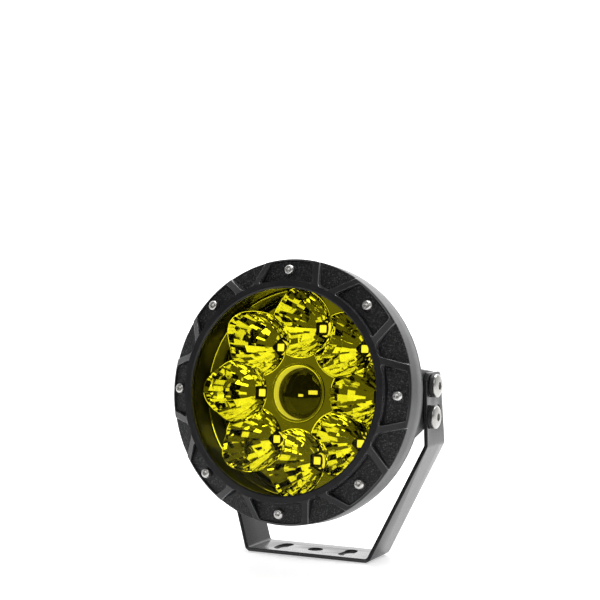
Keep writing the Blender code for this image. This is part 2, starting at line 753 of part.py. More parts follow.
def housing_holes():
    """Bolt holes in the bosses, tapped holes in the flange and behind, and the wire way."""
    holes = []
    for side in (1, -1):
        for drop in (0, LOCK_DROP):
            hole = rod_mesh("bolt_hole", BOLT_HOLE_RADIUS, 0, 0.020, 24)
            across = Matrix.Rotation(side * math.pi / 2, 4, "Y")
            at = PIVOT_IN_LAMP + Vector((side * (BOLT_TIP_X - GAP), -drop, 0))
            holes.append(moved(hole, at, across))
    tapped = rod_mesh("tapped", 0.0023, -0.0135, 0.001, SCREW_STEPS)
    holes.append(around(moved(tapped, (0, SCREW_CIRCLE, 0)), POCKETS))
    cover_hole = rod_mesh("cover_hole", 0.0018, -0.120, CHAMBER_BACK_Z + 0.008, 12)
    holes.append(around(moved(cover_hole, (0, COVER_SCREW_CIRCLE, 0)), 4, math.pi / 4))
    holes.append(moved(rod_mesh("wire_way", 0.0040, -0.070, -0.050, SCREW_STEPS), (0.024, 0, 0)))
    return joined("holes", holes)


def build_housing():
    """Die-cast body: front collar and flange, cavity, board seat, bosses, fins and rear chamber."""
    body = turned_mesh("housing", [
        (0, COLLAR_FRONT_Z),
        (LENS_RADIUS, COLLAR_FRONT_Z),
        (LENS_RADIUS, PLATE_BACK_Z - GAP),
        (SKIRT_INNER_RADIUS - 0.0004, PLATE_BACK_Z - GAP),
        (SKIRT_INNER_RADIUS - 0.0004, BEZEL_BACK_Z - GAP),
        (FLANGE_RADIUS, BEZEL_BACK_Z - GAP),
        (FLANGE_RADIUS, FLANGE_BACK_Z),
        (BODY_RADIUS + 0.0025, -0.0265),
        (BODY_RADIUS, -0.0310),
        (BODY_REAR_RADIUS, -0.0600),
        (BODY_REAR_RADIUS - 0.0025, BODY_BACK_Z),
        (CHAMBER_WALL_RADIUS, BODY_BACK_Z),
        (CHAMBER_WALL_RADIUS, CHAMBER_BACK_Z),
        (0, CHAMBER_BACK_Z),
    ], RING_STEPS)
    changes = [("UNION", fin_mesh())]
    for side in (1, -1):
        changes.append(("UNION", boss_mesh(side)))
    changes.append(("DIFFERENCE", housing_hollow()))
    changes.append(("DIFFERENCE", housing_holes()))
    mesh = combined("housing", body, changes)
    return in_lamp(add_object("housing", mesh, BLACK_CAST, 35))


# ---------------------------------------------------------------- rear cover and driver


def build_rear_cover():
    """Cover plate over the driver chamber, with its seal, screws, vent and cable gland."""
    seal_top = CHAMBER_BACK_Z - GAP
    cover_top = seal_top - REAR_SEAL_THICKNESS - GAP
    cover_back = cover_top - COVER_THICKNESS
    inner = circle((0, 0), CHAMBER_RADIUS + 0.0001, 48)
    outer = circle((0, 0), COVER_RADIUS, 48)
    holes = [circle(polar(COVER_SCREW_CIRCLE, math.pi / 4 + place * math.pi / 2), 0.0018, 12)
             for place in range(4)]
    seal = plate_mesh("rear_seal", [outer, inner] + holes, cover_top + GAP, seal_top)
    in_lamp(add_object("rear_seal", seal, BLACK_RUBBER, 35))
    gland_hole = circle(GLAND_AT.xy, 0.0063, 24)
    vent_hole = circle(VENT_AT.xy, 0.0033, 16)
    cover = plate_mesh("rear_cover", [outer, gland_hole, vent_hole] + holes, cover_back, cover_top)
    in_lamp(add_object("rear_cover", cover, BLACK_CAST, 35))
    backward = Matrix.Rotation(math.pi, 4, "X")
    screw = screw_mesh("rear_screw", 0.0028, 0.0020, 0.0015, 0.0095, 0.0011, 10)
    screw.transform(backward)
    for place in range(4):
        x, y = polar(COVER_SCREW_CIRCLE, math.pi / 4 + place * math.pi / 2)
        made = add_object(f"rear_cover_screw_{place + 1}", screw.copy(), STAINLESS, 35)
        in_lamp(made, (x, y, cover_back - GAP))
    build_gland(cover_back)
    build_vent(cover_back)


def build_gland(cover_back):
    """Cable gland: a threaded body through the cover and its clamping nut, open down the middle."""
    base = cover_back - GAP
    body = turned_mesh("cable_gland", [
        (0.0060, cover_back + COVER_THICKNESS + 0.0020),
        (0.0060, base),
        (0.0082, base),
        (0.0082, base - 0.0022),
        (0.0060, base - 0.0022),
        (0.0060, base - 0.0065),
        (0.0034, base - 0.0065),
        (0.0034, cover_back + COVER_THICKNESS + 0.0020),
    ], 24, ring=True)
    in_lamp(add_object("cable_gland", body, BLACK_PLASTIC, 35), GLAND_AT)
    top = base - 0.0022 - GAP
    nut = turned_mesh("gland_nut", [
        (0.0092, top),
        (0.0092, top - 0.0050),
        (0.0070, top - 0.0075),
        (0.0042, top - 0.0075),
        (0.0042, top - 0.0048),
        (0.0074, top - 0.0048),
        (0.0074, top),
    ], 6, ring=True)
    in_lamp(add_object("gland_nut", nut, BLACK_PLASTIC, 35), GLAND_AT)


def build_vent(cover_back):
    """Breather plug that lets the lamp equalise its pressure."""
    base = cover_back - GAP
    plug = turned_mesh("vent_plug", [
        (0, cover_back + COVER_THICKNESS + 0.0010),
        (0.0030, cover_back + COVER_THICKNESS + 0.0010),
        (0.0030, base),
        (0.0055, base),
        (0.0055, base - 0.0018),
        (0.0045, base - 0.0028),
        (0, base - 0.0028),
    ], 24)
    in_lamp(add_object("vent_plug", plug, BLACK_PLASTIC, 35), VENT_AT)


def build_driver():
    """Driver board in the rear chamber with its inductor, capacitors and power switch."""
    board = rod_mesh("driver_board", 0.0310, DRIVER_Z - 0.0016, DRIVER_Z, 48)
    in_lamp(add_object("driver_board", board, BOARD_GREEN, 35))
    back = DRIVER_Z - 0.0016 - GAP
    coil = turned_mesh("driver_inductor", [
        (0.0075, 0),
        (0.0075, -0.0060),
        (0.0035, -0.0060),
        (0.0035, 0),
    ], 24, ring=True)
    in_lamp(add_object("driver_inductor", coil, COPPER, 35), (-0.016, 0.008, back))
    can = rod_mesh("driver_capacitor", 0.0040, -0.0085, 0, 20)
    for place, x in enumerate((0.000, 0.010)):
        made = add_object(f"driver_capacitor_{place + 1}", can.copy(), SILVER_CAN, 35)
        in_lamp(made, (x, 0.020, back))
    chip = box_mesh("driver_switch", (-0.0050, -0.0045, -0.0045), (0.0050, 0.0045, 0))
    in_lamp(add_object("driver_switch", chip, BLACK_PLASTIC), (0.016, 0.004, back))


# ---------------------------------------------------------------- assembly

for old in list(bpy.data.objects):
    bpy.data.objects.remove(old)

PARTS = new_collection("fog_light")
CUTTERS = new_collection("cutters")

BLACK_STEEL = make_material("powder_coated_steel", (0.035, 0.036, 0.038), 0.45, 0.4)
BLACK_CAST = make_material("black_cast_aluminium", (0.020, 0.021, 0.023), 0.55, 0.4)
STAINLESS = make_material("stainless", (0.72, 0.71, 0.68), 0.30, 1.0)
YELLOW_LENS = make_material("yellow_lens", (0.95, 0.86, 0.03), 0.05, 0.0, 0.35)
CLEAR_GLASS = make_material("projector_glass", (0.85, 0.88, 0.86), 0.03, 0.0, 0.4)
BRIGHT_REFLECTOR = make_material("bright_reflector", (0.90, 0.90, 0.88), 0.08, 1.0)
BLACK_RUBBER = make_material("black_rubber", (0.025, 0.025, 0.025), 0.80, 0.0)
GREY_RUBBER = make_material("thermal_silicone", (0.55, 0.56, 0.58), 0.75, 0.0)
BLACK_PLASTIC = make_material("black_plastic", (0.030, 0.030, 0.032), 0.50, 0.0)
BLACK_NYLON = make_material("black_nylon", (0.020, 0.020, 0.020), 0.60, 0.0)
BOARD_GREEN = make_material("board", (0.04, 0.12, 0.07), 0.50, 0.0)
LED_YELLOW = make_material("led_phosphor", (0.93, 0.80, 0.20), 0.50, 0.0)
COPPER = make_material("copper_winding", (0.70, 0.33, 0.18), 0.35, 1.0)
SILVER_CAN = make_material("capacitor_can", (0.75, 0.75, 0.77), 0.35, 1.0)

TILT_AXIS = bpy.data.objects.new("tilt_axis", None)
TILT_AXIS.location = PIVOT
TILT_AXIS.rotation_euler.x = math.pi / 2 - HEAD_TILT
PARTS.objects.link(TILT_AXIS)

build_bracket()
build_ear_bolts()
build_bezel()
build_bezel_screws()
build_lens()
build_reflector()
build_projector()
build_lights()
build_housing()
build_rear_cover()
build_driver()
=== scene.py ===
"""Looks of a round LED fog light on a U-shaped bracket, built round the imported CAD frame.

Lamp pieces are drawn in millimetres in the lamp's own frame: x to the right, y up, z forward along
the optical axis, with z = 0 where the bezel's side wall ends in front. LAMP carries them to the row
frame. The bracket is drawn in the row frame.
"""

import json
import math

import bmesh
import bpy
import numpy as np
from mathutils import Matrix, Vector


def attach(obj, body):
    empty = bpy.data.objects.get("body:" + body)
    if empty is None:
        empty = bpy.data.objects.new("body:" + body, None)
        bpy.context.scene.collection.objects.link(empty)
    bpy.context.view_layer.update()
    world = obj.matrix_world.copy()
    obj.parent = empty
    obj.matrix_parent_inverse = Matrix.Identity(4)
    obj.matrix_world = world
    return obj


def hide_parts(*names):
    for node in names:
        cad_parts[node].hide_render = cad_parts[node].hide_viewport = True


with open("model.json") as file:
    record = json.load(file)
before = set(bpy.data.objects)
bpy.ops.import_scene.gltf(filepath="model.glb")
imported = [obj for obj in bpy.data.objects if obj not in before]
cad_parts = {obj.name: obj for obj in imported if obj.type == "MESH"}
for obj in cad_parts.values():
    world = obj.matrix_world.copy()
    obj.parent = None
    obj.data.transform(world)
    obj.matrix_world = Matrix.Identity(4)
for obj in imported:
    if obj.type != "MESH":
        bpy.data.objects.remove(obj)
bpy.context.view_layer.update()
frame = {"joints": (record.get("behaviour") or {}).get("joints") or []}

MM = 0.001
TAU = 2 * math.pi
HEAD_TILT = math.radians(5.7)
PIVOT = Vector(frame["joints"][0]["pos_m"])
PIVOT_IN_LAMP = Vector((0, 9.2, -57.0))
PIVOT_Y, PIVOT_Z = 13.3, 121.5  # the tilt axis in the bracket's drawing, mm
LAMP = (
    Matrix.Translation(PIVOT)
    @ Matrix.Rotation(math.pi / 2 - HEAD_TILT, 4, "X")
    @ Matrix.Scale(MM, 4)
    @ Matrix.Translation(-PIVOT_IN_LAMP)
)
UPRIGHT = Matrix.Scale(MM, 4)

# The lamp's front repeats eight times round its axis.
SECTORS = 8
SECTOR = math.pi / 4
HALF_SECTOR = math.pi / 8

# Bezel, mm
BEZEL_RADIUS = 90.0
BEZEL_EDGE = 0.7
BEZEL_BACK = -19.4
LIP_TOP = 10.3
OPENING = 69.4
LIP_OUTER = 74.5
RIM_INNER = 88.7
SCREW_POCKET_SIDE = 37.96
SCREW_POCKET_TURN = math.radians(14.95)
WEDGE_SIDE = -41.857
WEDGE_TURN = math.radians(37.13)
WALL_START = 0.15
WALL_WIDTH = 0.9
FLOOR_ZONE = -0.6
EDGE_ZONE = 0.25
CONE_SLOPE = 10.3 / 15.5
FLOOR_START = 75.2
FLOOR_TOP = 3.4
FLOOR_SLOPE = 0.29
SCREW_CIRCLE = 81.9
SCREW_SEAT = 1.46

# Optics, mm
PLATE_Z = -17.0
CUPS = 8
CUP_CIRCLE = 47.0
CUP_VERTEX = -52.5
CUP_FOCUS = 14.0
CUP_RIM = 22.3
RIM_CLIMB_START = 63.0
RIM_CLIMB = 7.0
FACETS_ROUND = 16
FACET_RINGS = (0, 0.25, 0.48, 0.70, 0.93, 1)
FACET_STEPS = 4
SHEET = 1.2
RING_RADIUS = 71.4
BARREL_RADIUS = 20.2
BARREL_MOUTH = 18.0
BARREL_BORE = 15.0
DOME_RADIUS = 17.6
DOME_EDGE_Z = -22.4
DOME_RISE = 5.6
CHIP_BACK, CHIP_FRONT = -31.4, -30.2
BOARD_Z = -53.0
LED_GAP = 0.3

# Side bolts, mm
SIDE_SEAT = 82.9
LOCK_DROP = 21.5
WASHER_RADIUS = 8.0
WASHER_HOLE = 4.3
WASHER_THICKNESS = 2.4
BOLT_STAND = 2.7

# Housing and rear, mm
FIN_PITCH = 9.0
FIN_HALF = 1.2
FIN_CIRCLE = 59.0
CHAMBER = 37.6
COVER_RADIUS = 38.5
COVER_SCREW_CIRCLE = 35.7
REAR_FACE = -93.13
COVER_THICKNESS = 3.0
DRIVER_BACK = -75.9


# ---------------------------------------------------------------- mesh helpers


def piece(name, mesh, materials, body, replaced=(), sharp=35):
    """Link a finished mesh as a piece that rides on a body and stands for CAD nodes."""
    for material in materials:
        mesh.materials.append(material)
    if sharp is not None:
        mesh.shade_smooth()
        mesh.set_sharp_from_angle(angle=math.radians(sharp))
    made = bpy.data.objects.new(name, mesh)
    bpy.context.scene.collection.objects.link(made)
    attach(made, body)
    if replaced:
        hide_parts(*replaced)
    return made


def grid_mesh(name, rows, closed_rows=False, bands=None):
    """A mesh from rows of points that each close on themselves; bands gives each row gap a material."""
    rows = np.asarray(rows, float)
    count, width = rows.shape[0], rows.shape[1]
    index = np.arange(count * width).reshape(count, width)
    below = index if closed_rows else index[:-1]
    above = np.roll(index, -1, 0) if closed_rows else index[1:]
    quads = np.stack([below, np.roll(below, -1, 1), np.roll(above, -1, 1), above], -1)
    faces = quads.reshape(-1, 4).tolist()
    mesh = bpy.data.meshes.new(name)
    mesh.from_pydata(rows.reshape(-1, 3).tolist(), [], faces)
    if bands is not None:
        kinds = np.broadcast_to(bands, (len(below), width)).reshape(-1).tolist()
        mesh.polygons.foreach_set("material_index", kinds)
    outward(mesh)
    return mesh


def outward(mesh):
    """Weld a mesh's poles and point its faces outwards."""
    work = bmesh.new()
    work.from_mesh(mesh)
    bmesh.ops.remove_doubles(work, verts=work.verts, dist=0.0005)
    bmesh.ops.recalc_face_normals(work, faces=work.faces)
    work.to_mesh(mesh)
    work.free()


def turned(name, profile, steps=128, closed=False, bands=None):
    """A profile of (radius, z) turned about z."""
    angles = np.arange(steps) * TAU / steps
    rows = [[(r * math.sin(a), r * math.cos(a), z) for a in angles] for r, z in profile]
    kinds = None if bands is None else np.array(bands)[:, None]
    return grid_mesh(name, rows, closed_rows=closed, bands=kinds)


def eased(profile, radius, count=3, closed=False):
    """Round every corner of a (radius, z) profile; radius is one number or one per corner."""
    points = []
    total = len(profile)
    for place, corner in enumerate(profile):
        here = Vector(corner)
        size = radius[place] if hasattr(radius, "__len__") else radius
        if (not closed and place in (0, total - 1)) or size == 0:
            points.append(tuple(here))
            continue
        before = Vector(profile[place - 1]) - here
        after = Vector(profile[(place + 1) % total]) - here
        half = before.angle(after) / 2
        reach = min(size / math.tan(half), before.length * 0.45, after.length * 0.45)
        size = reach * math.tan(half)
        centre = here + (before.normalized() + after.normalized()).normalized() * size / math.sin(half)
        first = here + before.normalized() * reach - centre
        last = here + after.normalized() * reach - centre
        turn = math.atan2(first.x * last.y - first.y * last.x, first.dot(last))
        for step in range(count + 1):
            points.append(tuple(centre + Matrix.Rotation(turn * step / count, 2) @ first))
    return points


def polar(radius, angle):
    """A point at an angle measured clockwise from straight up."""
    return (radius * math.sin(angle), radius * math.cos(angle))


def arc(centre, radius, start, end, count):
    """Points of an arc, with angles measured counter-clockwise from +x."""
    angles = np.linspace(start, end, count + 1)
    return [(centre[0] + radius * math.cos(a), centre[1] + radius * math.sin(a)) for a in angles]


def circle(centre, radius, count=64):
    """Points of a full circle."""
    return arc(centre, radius, 0, TAU * (count - 1) / count, count - 1)


def plate(name, loops, low, high, bevel=0.3):
    """Outlines with optional holes, extruded from low to high with rounded edges."""
    shape = bpy.data.curves.new(name, "CURVE")
    shape.dimensions = "2D"
    shape.fill_mode = "BOTH"
    shape.extrude = max((high - low) / 2 - bevel, 0.0001)
    shape.bevel_depth = bevel
    shape.bevel_resolution = 2
    shape.offset = -bevel
    for points in loops:
        spline = shape.splines.new("POLY")
        spline.points.add(len(points) - 1)
        for point, place in zip(spline.points, points):
            point.co = (place[0], place[1], 0, 1)
        spline.use_cyclic_u = True
    made = bpy.data.objects.new(name, shape)
    bpy.context.scene.collection.objects.link(made)
    bpy.context.view_layer.update()
    graph = bpy.context.evaluated_depsgraph_get()
    mesh = bpy.data.meshes.new_from_object(made.evaluated_get(graph))
    bpy.data.objects.remove(made)
    outward(mesh)
    mesh.transform(Matrix.Translation((0, 0, (low + high) / 2)))
    return mesh


def joined(name, meshes):
    """Put several meshes into one."""
    work = bmesh.new()
    for mesh in meshes:
        work.from_mesh(mesh)
    made = bpy.data.meshes.new(name)
    work.to_mesh(made)
    work.free()
    return made


def placed(mesh, matrix):
    """Transform a mesh and hand it back."""
    mesh.transform(matrix)
    return mesh


def hull(name, points, bevel):
    """A convex block round some points, with rounded edges."""
    work = bmesh.new()
    for point in points:
        work.verts.new(point)
    bmesh.ops.convex_hull(work, input=work.verts)
    bmesh.ops.dissolve_limit(work, angle_limit=0.02, verts=work.verts, edges=work.edges)
    bmesh.ops.bevel(work, geom=work.edges[:], offset=bevel, segments=3, profile=0.6,
                    affect="EDGES", clamp_overlap=True)
    bmesh.ops.recalc_face_normals(work, faces=work.faces)
    made = bpy.data.meshes.new(name)
    work.to_mesh(made)
    work.free()
    return made


# ---------------------------------------------------------------- materials


def new_material(name, colour, roughness, metallic=0.0, specular=0.5):
    """A Principled material; returns the material, its tree and its shader."""
    made = bpy.data.materials.new(name)
    made.use_nodes = True
    tree = made.node_tree
    shader = tree.nodes["Principled BSDF"]
    shader.inputs["Base Color"].default_value = (*colour, 1)
    shader.inputs["Roughness"].default_value = roughness
    shader.inputs["Metallic"].default_value = metallic
    shader.inputs["Specular IOR Level"].default_value = specular
    return made, tree, shader


def noise(tree, scale, detail=4.0, roughness=0.6):
    """Object-space noise of a given scale per metre."""
    place = tree.nodes.new("ShaderNodeTexCoord")
    made = tree.nodes.new("ShaderNodeTexNoise")
    made.inputs["Scale"].default_value = scale
    made.inputs["Detail"].default_value = detail
    made.inputs["Roughness"].default_value = roughness
    tree.links.new(place.outputs["Object"], made.inputs["Vector"])
    return made.outputs["Fac"]


def ramp(tree, value, low, high, dark, light):
    """Map a value between two colours."""
    made = tree.nodes.new("ShaderNodeValToRGB")
    made.color_ramp.elements[0].position = low
    made.color_ramp.elements[1].position = high
    made.color_ramp.elements[0].color = (*dark, 1)
    made.color_ramp.elements[1].color = (*light, 1)
    tree.links.new(value, made.inputs["Fac"])
    return made.outputs["Color"]


def spread(tree, value, low, high):
    """Map a 0 to 1 value to a range."""
    made = tree.nodes.new("ShaderNodeMapRange")
    made.inputs["To Min"].default_value = low
    made.inputs["To Max"].default_value = high
    tree.links.new(value, made.inputs["Value"])
    return made.outputs["Result"]


def bump(tree, shader, height, distance):
    """Bump a shader's normal by a height."""
    made = tree.nodes.new("ShaderNodeBump")
    made.inputs["Strength"].default_value = 1.0
    made.inputs["Distance"].default_value = distance
    tree.links.new(height, made.inputs["Height"])
    tree.links.new(made.outputs["Normal"], shader.inputs["Normal"])


def coated(name, dark, light, rough_low, rough_high, grain_scale=0, grain_depth=0.0,
           specular=0.5):
    """A painted or moulded black surface: cloudy colour, uneven gloss and maybe a fine grain."""
    made, tree, shader = new_material(name, dark, rough_low, specular=specular)
    cloud = noise(tree, 60, 5.0)
    tree.links.new(ramp(tree, cloud, 0.35, 0.7, dark, light), shader.inputs["Base Color"])
    tree.links.new(spread(tree, noise(tree, 130, 3.0), rough_low, rough_high),
                   shader.inputs["Roughness"])
    if grain_depth:
        bump(tree, shader, noise(tree, grain_scale, 3.0, 0.65), grain_depth)
    return made


def grained(name, dark, painted_glint, rough, grain_scale, grain_depth, specular):
    """A coarse sand-cast surface under black paint; the grain's high spots get a lighter colour, a
    painted glint.
    """
    made, tree, shader = new_material(name, dark, rough, specular=specular)
    height = noise(tree, grain_scale, 3.0, 0.6)
    # Painted glints: the high spots of the grain are coloured lighter than the paint.
    tree.links.new(ramp(tree, height, 0.52, 0.74, dark, painted_glint), shader.inputs["Base Color"])
    tree.links.new(spread(tree, noise(tree, 300, 2.0), rough - 0.08, rough + 0.08),
                   shader.inputs["Roughness"])
    bump(tree, shader, height, grain_depth)
    return made


def metal(name, colour, rough_low, rough_high, scratch=None):
    """Bare or coated metal with uneven polish, and fine scratches where a depth is given."""
    made, tree, shader = new_material(name, colour, rough_low, metallic=1.0)
    tree.links.new(spread(tree, noise(tree, 400, 4.0), rough_low, rough_high),
                   shader.inputs["Roughness"])
    tint = tuple(c * 0.86 for c in colour)
    tree.links.new(ramp(tree, noise(tree, 90, 3.0), 0.3, 0.7, tint, colour),
                   shader.inputs["Base Color"])
    if scratch:
        bump(tree, shader, noise(tree, 900, 2.0), scratch)
    return made


def tinted_pane(name, tint, gloss):
    """Clear coloured glass that lets lamps through, with a weak surface reflection."""
    made = bpy.data.materials.new(name)
    made.use_nodes = True
    tree = made.node_tree
    tree.nodes.clear()
    out = tree.nodes.new("ShaderNodeOutputMaterial")
    mix = tree.nodes.new("ShaderNodeMixShader")
    clear = tree.nodes.new("ShaderNodeBsdfTransparent")
    shine = tree.nodes.new("ShaderNodeBsdfGlossy")
    edge = tree.nodes.new("ShaderNodeFresnel")
    edge.inputs["IOR"].default_value = gloss
    clear.inputs["Color"].default_value = (*tint, 1)
    shine.inputs["Roughness"].default_value = 0.03
    tree.links.new(edge.outputs["Fac"], mix.inputs["Fac"])
    tree.links.new(clear.outputs["BSDF"], mix.inputs[1])
    tree.links.new(shine.outputs["BSDF"], mix.inputs[2])
    tree.links.new(mix.outputs["Shader"], out.inputs["Surface"])
    return made


def glowing(name, colour, strength):
    """A surface with a glow of its own and a fine grain."""
    made, tree, shader = new_material(name, colour, 0.45)
    shader.inputs["Emission Color"].default_value = (*colour, 1)
    shader.inputs["Emission Strength"].default_value = strength
    shade = tuple(c * 0.85 for c in colour)
    tree.links.new(ramp(tree, noise(tree, 2500, 2.0), 0.3, 0.7, shade, colour),
                   shader.inputs["Base Color"])
    bump(tree, shader, noise(tree, 3000, 2.0), 0.00005)
    return made


SATIN_CAST = coated("cast_satin", (0.004, 0.004, 0.005), (0.010, 0.010, 0.011), 0.28, 0.38,
                    2600, 0.00004, 0.30)
# Pocket floors: real grain bumps, with painted glints on the grain's high spots.
GRAIN_GLINT_CAST = grained("cast_grain_painted_glints", (0.0015, 0.0015, 0.002), (0.080, 0.081, 0.086), 0.42,
                     1000, 0.0006, 0.25)
# Pocket edges: a glossier coat, which is real, and a lighter colour than the satin face, which paints in
# part of the edge highlights.
EDGE_HIGHLIGHT_CAST = coated("cast_edge_painted_highlight", (0.030, 0.030, 0.032), (0.045, 0.045, 0.047), 0.14, 0.20,
                   specular=1.0)
HOUSING_CAST = coated("housing_cast", (0.014, 0.014, 0.015), (0.024, 0.024, 0.026), 0.42, 0.56,
                      1900, 0.00012)
BORE_BLACK = coated("bore_black", (0.006, 0.006, 0.006), (0.012, 0.012, 0.011), 0.26, 0.32,
                    specular=0.12)
STRAP_BLACK = coated("strap_powder", (0.012, 0.012, 0.013), (0.020, 0.020, 0.022), 0.20, 0.28,
                     specular=0.46)
NYLON = coated("black_nylon", (0.012, 0.012, 0.012), (0.020, 0.020, 0.020), 0.5, 0.65,
               1800, 0.00008)
RUBBER = coated("black_rubber", (0.014, 0.014, 0.014), (0.024, 0.024, 0.024), 0.7, 0.85,
                1500, 0.00010)
PLASTIC = coated("black_plastic", (0.015, 0.015, 0.016), (0.024, 0.024, 0.025), 0.38, 0.5,
                 1600, 0.00008)
BOARD = coated("black_board", (0.010, 0.010, 0.010), (0.018, 0.018, 0.018), 0.3, 0.4,
               900, 0.00003)
GREEN_BOARD = coated("green_board", (0.012, 0.055, 0.026), (0.018, 0.075, 0.036), 0.3, 0.4,
                     900, 0.00003)
SILICONE = coated("thermal_silicone", (0.36, 0.37, 0.39), (0.45, 0.46, 0.48), 0.7, 0.8,
                  700, 0.00008)
STAINLESS = metal("stainless", (0.58, 0.57, 0.55), 0.22, 0.34, 0.00002)
BOLT_STEEL = metal("bolt_steel", (0.42, 0.415, 0.40), 0.24, 0.34, 0.00002)
MIRROR = metal("mirror_coating", (0.92, 0.92, 0.90), 0.02, 0.05)
# Painted light: the barrel's inner wall glows to stand in for the chips' light falling on it; it is no
# lamp.
CHIP_LIGHT_GLOW = glowing("painted_chip_light", (1.0, 0.95, 0.55), 0.36)
COPPER = metal("copper_winding", (0.72, 0.34, 0.18), 0.25, 0.40, 0.00003)
CAN = metal("capacitor_can", (0.75, 0.75, 0.77), 0.25, 0.35, 0.00003)
YELLOW = tinted_pane("yellow_lens", (0.975, 0.955, 0.35), 1.15)
DARK_GLASS = tinted_pane("projector_glass", (0.62, 0.62, 0.55), 1.5)
PHOSPHOR = glowing("led_phosphor", (1.0, 0.90, 0.38), 0.9)
BRIGHT_CHIP = glowing("projector_chip", (1.0, 0.90, 0.38), 2.6)


# ---------------------------------------------------------------- bezel


def bezel_columns(radius):
    """Angles of the mesh lines from a screw to the middle of the next wedge, which follow the ribs."""
    reach = max(radius, 75.8)
    bands = np.array([-1.1, -0.8, -0.65, -0.5, -0.35, -0.2, -0.08, 0.04, 0.18, 0.35])
    pocket = np.arcsin((SCREW_POCKET_SIDE + bands) / reach) - SCREW_POCKET_TURN
    wedge = HALF_SECTOR - (np.arcsin((WEDGE_SIDE + bands) / reach) + WEDGE_TURN)
    inside = np.linspace(0, pocket[0], 8)[:-1]
    rib = [(pocket[-1] + wedge[-1]) / 2]
    beyond = np.linspace(wedge[0], HALF_SECTOR, 6)[1:-1]
    half = np.concatenate([inside, pocket, rib, wedge[::-1], beyond])
    mirrored = SECTOR - half[::-1]
    return np.concatenate([half, [HALF_SECTOR], mirrored[:-1]])


def rounded_both(first, second, radius):
    """Signed distance inside two edges at once, with the corner between them rounded."""
    over = np.hypot(np.maximum(first + radius, 0), np.maximum(second + radius, 0))
    return np.minimum(-radius, np.maximum(first, second)) + over


def pocket_distance(radius, angle):
    """How far a point lies outside the nearest pocket's edge; negative inside."""
    turn = np.mod(angle + HALF_SECTOR, SECTOR) - HALF_SECTOR
    side = radius * np.sin(np.abs(turn) + SCREW_POCKET_TURN) - SCREW_POCKET_SIDE
    screw = rounded_both(rounded_both(side, LIP_OUTER - radius, 2.2), radius - RIM_INNER, 1.2)
    turn = np.abs(np.mod(angle, SECTOR) - HALF_SECTOR)
    side = radius * np.sin(turn - WEDGE_TURN) - WEDGE_SIDE
    wedge = rounded_both(side, LIP_OUTER - 0.2 - radius, 1.8)
    return np.minimum(screw, wedge)


def bezel_front(radius, angle):
    """Height of the bezel's front face, and its zone: 0 plain, 1 pocket floor, 2 pocket edge."""
    distance = pocket_distance(radius, angle)
    top = min(LIP_TOP, LIP_TOP - (radius - LIP_OUTER) * CONE_SLOPE)
    floor = FLOOR_TOP - FLOOR_SLOPE * (radius - FLOOR_START)
    share = np.clip((WALL_START - distance) / WALL_WIDTH, 0, 1)
    share = share * share * (3 - 2 * share)
    height = top + (min(floor, top) - top) * share
    over = max(radius - (BEZEL_RADIUS - BEZEL_EDGE), 0)
    drop = BEZEL_EDGE - math.sqrt(max(BEZEL_EDGE ** 2 - over * over, 0))
    # Zone 2, the pocket edges, gets the lighter paint of the painted edge highlight.
    zone = np.where(distance < FLOOR_ZONE, 1, np.where(np.abs(distance) < EDGE_ZONE, 2, 0))
    return height - drop, zone


def build_bezel():
    """Front ring with its lip, ribs, pockets, side wall and back, as one closed skin."""
    lip = [70.5, 70.8, 72.4, 73.9, 74.2]
    wall = list(LIP_OUTER + np.array([-0.1, 0.0, 0.1, 0.2, 0.3, 0.42, 0.54, 0.66, 0.78, 0.95, 1.25]))
    field = list(np.linspace(76.2, 86.8, 16))
    rim = [87.3, 87.55, 87.8, 88.0, 88.2, 88.4, 88.55, 88.7, 88.85, 89.05, 89.3, 89.55, 89.8, 89.93,
           BEZEL_RADIUS]
    rows = []
    zones = []

    def ring(radius, z):
        angles = full_turn(bezel_columns(radius))
        rows.append([(radius * math.sin(a), radius * math.cos(a), z) for a in angles])
        zones.append(np.zeros(len(angles), int))

    mouth = [(OPENING, 7.3), (OPENING, 9.4), (70.4, LIP_TOP), (70.5, LIP_TOP)]
    for radius, z in eased(mouth, 0.3)[:-1]:
        ring(radius, z)
    for radius in lip + wall + field + rim:
        angles = full_turn(bezel_columns(radius))
        height, zone = bezel_front(radius, angles)
        rows.append([(radius * math.sin(a), radius * math.cos(a), z) for a, z in zip(angles, height)])
        zones.append(zone)
    back = [(BEZEL_RADIUS, -2.2), (BEZEL_RADIUS, -10.0), (BEZEL_RADIUS, -18.6), (89.8, -19.15),
            (89.4, BEZEL_BACK), (87.2, BEZEL_BACK), (87.0, -19.2), (87.0, -3.1), (74.2, -3.1),
            (74.2, 7.3)]
    for radius, z in back:
        ring(radius, z)
    zones = np.array(zones)
    floors = (zones == 1) & (np.roll(zones, -1, 0) == 1) & (np.roll(zones, -1, 1) == 1)
    bands = np.where(zones == 1, floors.astype(int), zones)
    skin = grid_mesh("bezel", rows, closed_rows=True, bands=bands)
    pads = []
    profile = [(0, SCREW_SEAT), (3.9, SCREW_SEAT), (4.3, SCREW_SEAT - 0.25), (4.5, -1.4), (0, -1.4)]
    for place in range(SECTORS):
        pad = turned("pad", profile, 40)
        x, y = polar(SCREW_CIRCLE, TAU * place / SECTORS)
        pads.append(placed(pad, Matrix.Translation((x, y, 0))))
    mesh = placed(joined("bezel", [skin, *pads]), LAMP)
    piece("bezel_ring", mesh, [SATIN_CAST, GRAIN_GLINT_CAST, EDGE_HIGHLIGHT_CAST], "lamp", ["bezel"], 40)


def full_turn(sector):
    """Repeat one eighth's angles all the way round."""
    return np.concatenate([sector + place * SECTOR for place in range(SECTORS)])


# ---------------------------------------------------------------- fasteners


def hex_reach(angles, apothem):
    """Radius of a hexagon in each direction."""
    return apothem / np.cos(np.mod(angles, math.pi / 3) - math.pi / 6)


